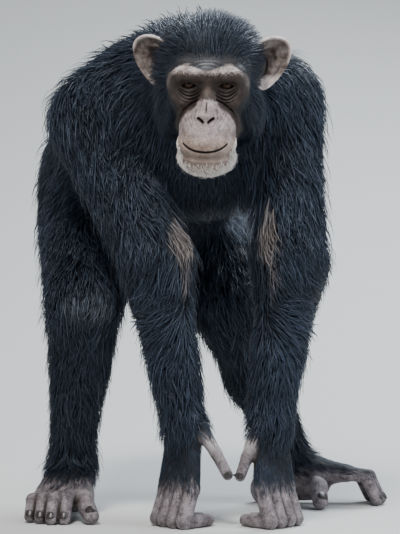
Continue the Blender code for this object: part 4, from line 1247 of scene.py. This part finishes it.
def ear(name, sign, around=72):
    """A cupped shell on a polar grid: share of the outline by turn, over the curled rim."""
    share = np.concatenate([np.linspace(0.004, 0.86, 22), [0.90, 0.94, 0.98, 1.01, 1.02, 1.0]])
    height = np.array([ear_cup(r) for r in share])
    height[22:] = ear_cup(0.88) + np.array([2.6, 4.0, 4.6, 3.4, 1.4, -0.4])
    back = np.linspace(0.97, 0.004, 16)
    share = np.concatenate([share, back])
    height = np.concatenate([height, [ear_cup(r) - 3.0 for r in back]])
    turn = np.linspace(0, 2 * math.pi, around, endpoint=False)[None]
    u, v = (side * share[:, None] for side in ear_outline(turn))
    across = np.array((0.906 * sign, 0.42, 0.03))
    up = np.array((0.10 * sign, 0.10, 1))
    facing = np.array((0.42 * sign, -0.906, 0.10))
    middle = np.array((82 * sign, 92, 13))
    points = middle + u[..., None] * across + v[..., None] * up
    inner = np.concatenate([np.ones(28), np.zeros(16)])[:, None]
    conch = np.hypot((u + 8) / 13, (v + 6) / 17)
    ridge = bell(np.hypot((u + 2) / 18, (v + 1) / 23) - 1, 0.16) * smooth(-25, -5, v)
    relief = inner * (3.0 * ridge - 8.0 * smooth(1.0, 0.55, conch))
    relief = relief * smooth(1.0, 0.85, share)[:, None]
    points = points + (height[:, None] + relief)[..., None] * facing
    rows = len(share)
    index = np.arange(rows * around).reshape(rows, around)
    a, b = index[:-1], index[1:]
    faces = np.stack([a, np.roll(a, -1, 1), np.roll(b, -1, 1), b], -1).reshape(-1, 4)
    thing = mesh_object(name, from_head(points.reshape(-1, 3)), faces[:, ::sign])
    # Painted shade in the ear's hollows: the cup below its ridge and the pit under the rim.
    ear_hollow_shade = smooth(0.0, -6.0, relief + np.minimum(height[:, None] + 6, 0))
    fossa = bell(np.hypot((u - 7) / 9, (v - 17) / 7), 0.8)
    add_attribute(thing, "ear_hollow_shade", (np.maximum(ear_hollow_shade, fossa) * inner).ravel())
    # The pale upper rim is a painted highlight; the right ear's lobe is painted in shade.
    low, high, lobe_share = EAR_LIGHT_AND_SHADE[sign]
    rim = smooth(0.86, 0.96, share)[:, None] * smooth(low, high, v)
    lobe = smooth(-16, -27, v) * lobe_share
    add_attribute(thing, "pale", np.maximum(rim, lobe).ravel())
    with_modifier(thing, "WELD", merge_threshold=0.05 * MM)
    return thing


class Maths:
    """A shader socket that takes part in Python expressions."""

    def __init__(self, tree, socket):
        self.tree, self.socket = tree, socket

    def _do(self, operation, *inputs):
        node = self.tree.nodes.new("ShaderNodeMath")
        node.operation = operation
        for place, value in zip(node.inputs, inputs):
            if isinstance(value, Maths):
                self.tree.links.new(value.socket, place)
            else:
                place.default_value = value
        return Maths(self.tree, node.outputs[0])

    def __add__(self, other):
        return self._do("ADD", self, other)

    __radd__ = __add__

    def __sub__(self, other):
        return self._do("SUBTRACT", self, other)

    def __rsub__(self, other):
        return self._do("SUBTRACT", other, self)

    def __mul__(self, other):
        return self._do("MULTIPLY", self, other)

    __rmul__ = __mul__

    def __pow__(self, power):
        return self._do("POWER", self, power)

    def __abs__(self):
        return self._do("ABSOLUTE", self)

    def exp(self):
        return self._do("EXPONENT", self)

    def sine(self):
        return self._do("SINE", self)

    def clamped(self):
        low = self._do("MAXIMUM", self, 0.0)
        return self._do("MINIMUM", low, 1.0)

    def between(self, low, high):
        """0 at low and 1 at high, held outside."""
        return ((self - low) * (1 / (high - low))).clamped()


class Finish:
    """A material whose nodes are made by a few short calls."""

    def __init__(self, name, roughness=0.5, **fixed):
        self.material = bpy.data.materials.new(name)
        self.material.use_nodes = True
        self.tree = self.material.node_tree
        self.shader = self.tree.nodes["Principled BSDF"]
        self.shader.inputs["Roughness"].default_value = roughness
        for key, value in fixed.items():
            self.shader.inputs[key.replace("_", " ")].default_value = value

    def node(self, kind, settings=None, **inputs):
        node = self.tree.nodes.new(kind)
        for key, value in (settings or {}).items():
            setattr(node, key, value)
        for key, value in inputs.items():
            self.feed(node.inputs[key.replace("_", " ")], value)
        return node

    def feed(self, place, value):
        if isinstance(value, Maths):
            value = value.socket
        if isinstance(value, bpy.types.NodeSocket):
            self.tree.links.new(value, place)
        else:
            place.default_value = value

    def number(self, socket):
        return Maths(self.tree, socket)

    def attribute(self, name):
        node = self.node("ShaderNodeAttribute", {"attribute_name": name})
        return self.number(node.outputs["Fac"])

    def place(self):
        return self.node("ShaderNodeTexCoord").outputs["Object"]

    def noise(self, scale, detail=3.0, rough=0.55, vector=None):
        node = self.node(
            "ShaderNodeTexNoise",
            Vector=vector or self.place(),
            Scale=scale,
            Detail=detail,
            Roughness=rough,
        )
        return self.number(node.outputs["Fac"])

    def mix(self, share, first, second):
        """One colour run into another by share."""
        node = self.node("ShaderNodeMix", {"data_type": "RGBA"})
        self.feed(node.inputs["Factor"], share)
        for place, colour in ((node.inputs[6], first), (node.inputs[7], second)):
            if isinstance(colour, tuple):
                colour = (*colour, 1.0)[:4]
            self.feed(place, colour)
        return node.outputs[2]

    def bump(self, height, strength, distance):
        node = self.node("ShaderNodeBump", Strength=strength, Distance=distance, Height=height)
        self.feed(self.shader.inputs["Normal"], node.outputs["Normal"])

    def colour(self, value):
        self.feed(self.shader.inputs["Base Color"], value)


# Base colours, as light that comes back: the darker and the lighter of each
HAIR = (0.003, 0.004, 0.007), (0.040, 0.054, 0.084)
WHITE_HAIR = (0.70, 0.63, 0.575), (0.98, 0.93, 0.88)
CHEEK = (0.016, 0.010, 0.008), (0.066, 0.047, 0.040)
BAG = (0.095, 0.072, 0.062), (0.27, 0.225, 0.205)
# Pale brow skin, with a painted highlight
BROW_AND_HIGHLIGHT = (0.085, 0.066, 0.060), (0.56, 0.48, 0.455)
FOREHEAD = (0.06, 0.065, 0.075), (0.24, 0.25, 0.27)
MUZZLE = (0.165, 0.125, 0.125), (0.49, 0.41, 0.405)
LIP = (0.085, 0.055, 0.042), (0.31, 0.225, 0.175)
CHIN = (0.20, 0.140, 0.112), (0.45, 0.345, 0.29)
PALM = (0.060, 0.048, 0.052), (0.34, 0.295, 0.305)
THUMB = (0.26, 0.225, 0.225), (0.50, 0.45, 0.45)
ELBOW = (0.075, 0.060, 0.054), (0.50, 0.42, 0.38)
# Painted light: the pale bluish colour of the lit pools
CHEST_LIGHT = (0.12, 0.14, 0.18), (0.50, 0.56, 0.66)
EAR = (0.050, 0.032, 0.026), (0.74, 0.64, 0.595)
UNDER_COAT = (0.010, 0.011, 0.014)
# Painted shade, laid along the face's lines and in the hollows of the skin and ears
CREASE_SHADE = (0.022, 0.014, 0.011)
# Painted shade round the nostrils
NOSE_SHADE = (0.060, 0.034, 0.034)
NAIL = (0.020, 0.016, 0.015), (0.055, 0.045, 0.042)
# Painted shade inside the nostrils and along the mouth's line
BLACK_SHADE = (0.004, 0.003, 0.003)


def coat_finish(name, colours):
    finish = Finish(
        name, 0.44, IOR=1.55, Specular_IOR_Level=0.42, Specular_Tint=(0.78, 0.89, 1.0, 1.0)
    )
    tone, along = (finish.attribute(n) for n in ("tone", "along"))
    broad = finish.noise(11.0, 2.0)
    share = (tone * 0.50 + along * 0.18 + broad.between(0.35, 0.75) * 0.45).clamped()
    tone = finish.mix(share, *colours)
    tone = finish.mix(finish.attribute("warm") * 0.85, tone, finish.mix(share, *ELBOW))
    # Painted light on the coat in the lit pools.
    tone = finish.mix(finish.attribute("lit_patch") * 0.85, tone, finish.mix(share, *CHEST_LIGHT))
    finish.colour(tone)
    return finish.material


def head_axes(finish):
    """The head's own x, y and z where the surface is shaded, in millimetres."""
    mapping = finish.node(
        "ShaderNodeMapping",
        {"vector_type": "TEXTURE"},
        Vector=finish.place(),
        Location=tuple(NASION + SHIFT),
        Rotation=tuple(Matrix(HEAD_TURN.tolist()).to_euler()),
        Scale=(MM, MM, MM),
    )
    split = finish.node("ShaderNodeSeparateXYZ", Vector=mapping.outputs["Vector"])
    return (finish.number(split.outputs[n]) for n in "XYZ")


def face_tone(finish, mottle, speck, edge):
    """The naked face: dark cheeks, pale brow and muzzle, brown lips, with painted shade along its
    lines, under the brow, round and in the nostrils and along the mouth, and a painted highlight on
    the brow's top.
    """
    x, y, z = head_axes(finish)
    x = abs(x)
    front = smooth(4, -8, y)
    tone = finish.mix(mottle, *CHEEK)
    bridge = bell(x, 8.0) * smooth(-16, -6, z) * smooth(18, 8, z)
    tone = finish.mix(bridge * 0.25, tone, finish.mix(mottle, *LIP))
    side = x - EYE_SIDE
    bags = bell((side * side * 0.9 + (z + 17) * (z + 17)) ** 0.5, 11.0)
    tone = finish.mix(bags * 0.9, tone, finish.mix(mottle, *BAG))
    outer = smooth(-8, -2, edge) * smooth(-14, 6, z) * 0.30
    # The pale top of the brow: pale skin, with a painted highlight where its upper face takes the
    # light.
    brow = smooth(15.5, 28.0, z - x * x * 0.001 + speck * 8 - mottle * 3 - 2.5)
    brow = brow * (1 - bell(x, 8.0) * 0.6)
    tone = finish.mix((brow + outer).clamped(), tone, finish.mix(mottle, *BROW_AND_HIGHLIGHT))
    # Painted shade under the brow, round the eye.
    socket = (side * side * 0.30 + (z - 7.0) * (z - 7.0)) ** 0.5
    tone = finish.mix(bell(socket, 8.0) * 0.85, tone, (0.020, 0.012, 0.009))
    rise = z + x * x * 0.024 + 16 + speck * 4 - 2
    tone = finish.mix(smooth(1.5, -2.0, rise) * front, tone, finish.mix(mottle, *MUZZLE))
    lip = z - mouth_height(x)
    upper = smooth(33, 8, lip + speck * 9 - 2) * smooth(-1, 0, lip) * smooth(42, 24, x) * front
    tone = finish.mix(upper * 0.9, tone, finish.mix(mottle, *LIP))
    lower = smooth(0, -1.5, lip) * front
    tone = finish.mix(lower, tone, finish.mix(mottle, *CHIN))
    # Painted shade along the lines of the face.
    lines = face_lines(x, z) * smooth(24, 14, y)
    tone = finish.mix((lines * 0.80).clamped(), tone, CREASE_SHADE)
    # Painted shade round the nostrils, under the tip of the nose.
    hole = nostril_line(x, z) + smooth(5.0, 12.5, x) * 1.3
    tip = smooth(-16, -22, y)
    tone = finish.mix(bell(hole, 4.4) * 0.75 * tip, tone, NOSE_SHADE)
    # Painted shade: black inside the nostrils and along the line of the mouth.
    mouth = bell(lip, 1.25) * smooth(32.0, 25.0, x) * front
    return finish.mix((smooth(2.8, 0.4, hole) * 0.9 * tip + mouth).clamped(), tone, BLACK_SHADE)


def forehead_tone(finish, mottle):
    """Dark under the coat, but grey and lined where the hair is thin over the nose; the lines are
    painted shade.
    """
    x, y, z = head_axes(finish)
    thin = bell(x, 15.0) * bell(z - 31, 5.5) * smooth(20, 8, y)
    grey = finish.mix(mottle, *FOREHEAD)
    # Painted shade along the forehead's lines.
    grey = finish.mix((face_lines(abs(x), z) * 1.2).clamped(), grey, CREASE_SHADE)
    return finish.mix(thin, UNDER_COAT, grey)


def skin_finish():
    finish = Finish("bare_skin", 0.55, Specular_IOR_Level=0.28)
    names = ("edge", "palms", "patches", "lit_patch", "hollow_shade", "finger", "joint", "thumb")
    edge, palms, patches, lit_patch, hemmed_shade, finger, joint, thumb = map(finish.attribute, names)
    broad = finish.noise(75.0, 4.0, 0.62)
    speck = finish.noise(330.0, 3.0, 0.65).between(0.36, 0.64)
    mottle = (broad.between(0.36, 0.64) * 0.6 + speck * 0.4).clamped()
    tone = face_tone(finish, mottle, speck, edge)
    naked = smooth(1.0, -1.0, edge + speck * 1.6 - 0.8)
    tone = finish.mix(naked, forehead_tone(finish, mottle), tone)
    tone = finish.mix(patches, tone, finish.mix(mottle, *ELBOW))
    # Painted light on the skin in the lit pools.
    tone = finish.mix(lit_patch, tone, finish.mix(mottle, *CHEST_LIGHT))
    wrinkle = (finger * 2.3 + broad * 9.0).sine().between(0.1, 0.9) * joint
    tone = finish.mix(palms, tone, finish.mix(mottle, *PALM))
    height = finish.node("ShaderNodeSeparateXYZ", Vector=finish.place()).outputs["Z"]
    pale = smooth(0.096, 0.124, finish.number(height))
    tone = finish.mix(thumb * pale * palms, tone, finish.mix(mottle, *THUMB))
    # Painted shade in the wrinkles at the joints of fingers and toes.
    tone = finish.mix(wrinkle * 0.55, tone, (0.030, 0.024, 0.026))
    # Painted shade: the skin darkens where it is hemmed in, in hollows, grooves and between the
    # fingers and toes.
    tone = finish.mix((hemmed_shade * 1.3).clamped() * 0.9, tone, CREASE_SHADE)
    finish.colour(tone)
    finish.bump(speck * 0.5 + broad * 0.6 - wrinkle * 0.8, 0.45, 0.0010)
    return finish.material


def ear_finish():
    finish = Finish("ear_skin", 0.55, Specular_IOR_Level=0.28)
    blotch = finish.noise(90.0, 4.0, 0.6).between(0.35, 0.65)
    # Paler on the painted highlight of the upper rim and on the lobe.
    share = blotch * 0.22 + finish.attribute("pale") * (blotch * 0.3 + 0.55)
    tone = finish.mix(share.clamped(), *EAR)
    # Painted shade in the ear's hollows.
    tone = finish.mix(finish.attribute("ear_hollow_shade") * 0.92, tone, CREASE_SHADE)
    finish.colour(tone)
    finish.bump(finish.noise(300.0, 3.0), 0.3, 0.001)
    return finish.material


def nail_finish():
    finish = Finish("nail", 0.35, Specular_IOR_Level=0.45)
    finish.colour(finish.mix(finish.noise(160.0).between(0.35, 0.65), *NAIL))
    return finish.material


def eye_finish(name, middle, look):
    """Iris and pupil by distance from the gaze's axis, in the eye's own turned frame."""
    finish = Finish(name, 0.30, Specular_IOR_Level=0.10, Coat_Weight=0.10, Coat_Roughness=0.04)
    turn = Vector((0, 0, 1)).rotation_difference(Vector(look @ (0, -1, 0)))
    mapping = finish.node(
        "ShaderNodeMapping",
        {"vector_type": "TEXTURE"},
        Vector=finish.place(),
        Location=tuple(middle),
        Rotation=tuple(turn.to_euler()),
        Scale=(MM, MM, MM),
    )
    split = finish.node("ShaderNodeSeparateXYZ", Vector=mapping.outputs["Vector"])
    x, y, z = (finish.number(split.outputs[n]) for n in "XYZ")
    far = (x * x + y * y) ** 0.5
    white = (0.016, 0.009, 0.006)
    iris = finish.mix(far.between(2.6, 5.6), (0.070, 0.034, 0.015), (0.028, 0.012, 0.006))
    tone = finish.mix(far.between(5.5, 6.1), iris, white)
    tone = finish.mix(far.between(2.5, 2.1), tone, (0.002, 0.002, 0.002))
    finish.colour(tone)
    return finish.material


def dress(thing, material, slot, *nodes):
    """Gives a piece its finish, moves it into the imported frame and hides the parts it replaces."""
    points = np.empty(len(thing.data.vertices) * 3, np.float32)
    thing.data.vertices.foreach_get("co", points)
    points = points.reshape(-1, 3) + SHIFT.astype(np.float32)
    thing.data.vertices.foreach_set("co", points.ravel())
    thing.data.update()
    thing.data.materials.clear()
    thing.data.materials.append(material)
    thing.data.polygons.foreach_set("use_smooth", np.ones(len(thing.data.polygons), bool))
    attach(thing, "root")
    if nodes:
        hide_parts(*nodes)


FLESH = ["head", "neck", "torso"] + [
    part + side
    for part in ("upper_arm_", "forearm_", "thigh_", "shin_", "hand_", "foot_")
    for side in ("left", "right")
]


def make_animal():
    body = Body()
    points, faces = skin_surface(body)
    _, facing = body.facing(points)
    traits = skin_traits(body, points, facing)
    skin = mesh_object("skin", points, faces)
    for name, values in traits.items():
        add_attribute(skin, name, values)
    places = unwrapped(skin)
    hair = coat_finish("coat_hair", HAIR)
    for piece in coat_pieces(body, points, faces, places, traits):
        dress(piece, hair, "coat")
    white = coat_finish("white_hair", WHITE_HAIR)
    dress(beard(body, points, faces, places), white, "coat")
    dress(skin, skin_finish(), "skin", *FLESH)
    dress(nails(), nail_finish(), "skin")
    ears = ear_finish()
    for side, sign in (("left", 1), ("right", -1)):
        middle = from_head(EYE * (sign, 1, 1))
        ball, look = eyeball("eyeball_" + side, sign)
        finish = eye_finish("eye_" + side, middle + SHIFT, look)
        dress(ball, finish, "eye", "eye_" + side)
        dress(ear("outer_ear_" + side, sign), ears, "ear", "ear_" + side)


def sweep():
    """A pale floor that curves up behind into a wall, so that no edge shows."""
    turn = np.linspace(0, math.pi / 2, 24)
    curve = np.stack([SWEEP_START + SWEEP_RADIUS * np.sin(turn), SWEEP_RADIUS * (1 - np.cos(turn))], 1)
    profile = np.concatenate([[(-7.0, 0.0)], curve, [(SWEEP_START + SWEEP_RADIUS, 12.0)]])
    ends = [np.insert(profile, 0, side, axis=1) for side in (-12.0, 12.0)]
    count = len(profile)
    a = np.arange(count - 1)
    faces = np.stack([a, a + count, a + count + 1, a + 1], 1)
    floor = mesh_object("floor", np.concatenate(ends), faces)
    pale = Finish("pale_floor", 0.85)
    pale.colour((0.62, 0.62, 0.60, 1.0))
    floor.data.materials.append(pale.material)


SWEEP_START, SWEEP_RADIUS = 0.8, 4.0

# Lamps: place, aim, size in metres, watts and tint
LAMPS = {
    "key": ((-0.5, -1.9, 3.0), (0, 0.05, 0.45), 0.9, 125, (1.0, 0.98, 0.95)),
    "fill": ((2.5, -1.0, 1.8), (0, 0.05, 0.4), 1.4, 55, (0.80, 0.89, 1.0)),
    "rim": ((0.9, 2.0, 2.6), (0, 0.1, 0.5), 1.4, 110, (0.86, 0.93, 1.0)),
}


def studio_light():
    world = bpy.data.worlds.new("studio")
    bpy.context.scene.world = world
    world.use_nodes = True
    world.node_tree.nodes["Background"].inputs[0].default_value = (0.78, 0.86, 1.0, 1)
    world.node_tree.nodes["Background"].inputs[1].default_value = 0.32
    for name, (place, aim, size, power, tint) in LAMPS.items():
        light = bpy.data.lights.new(name, "AREA")
        light.size, light.energy, light.color = size, power, tint
        lamp = bpy.data.objects.new(name, light)
        lamp.location = place
        way = Vector(aim) - Vector(place)
        lamp.rotation_euler = way.to_track_quat("-Z", "Y").to_euler()
        bpy.context.scene.collection.objects.link(lamp)


def camera():
    """Four metres in front and a little above, as the photograph's perspective gives it."""
    data = bpy.data.cameras.new("camera")
    data.lens, data.clip_end = 182.2, 50
    thing = bpy.data.objects.new("camera", data)
    thing.location = Vector((0, -4.0, 0.55)) + Vector(SHIFT)
    thing.rotation_euler = (math.radians(87.585), 0, 0)
    bpy.context.scene.collection.objects.link(thing)
    bpy.context.scene.camera = thing


make_animal()
sweep()
studio_light()
camera()
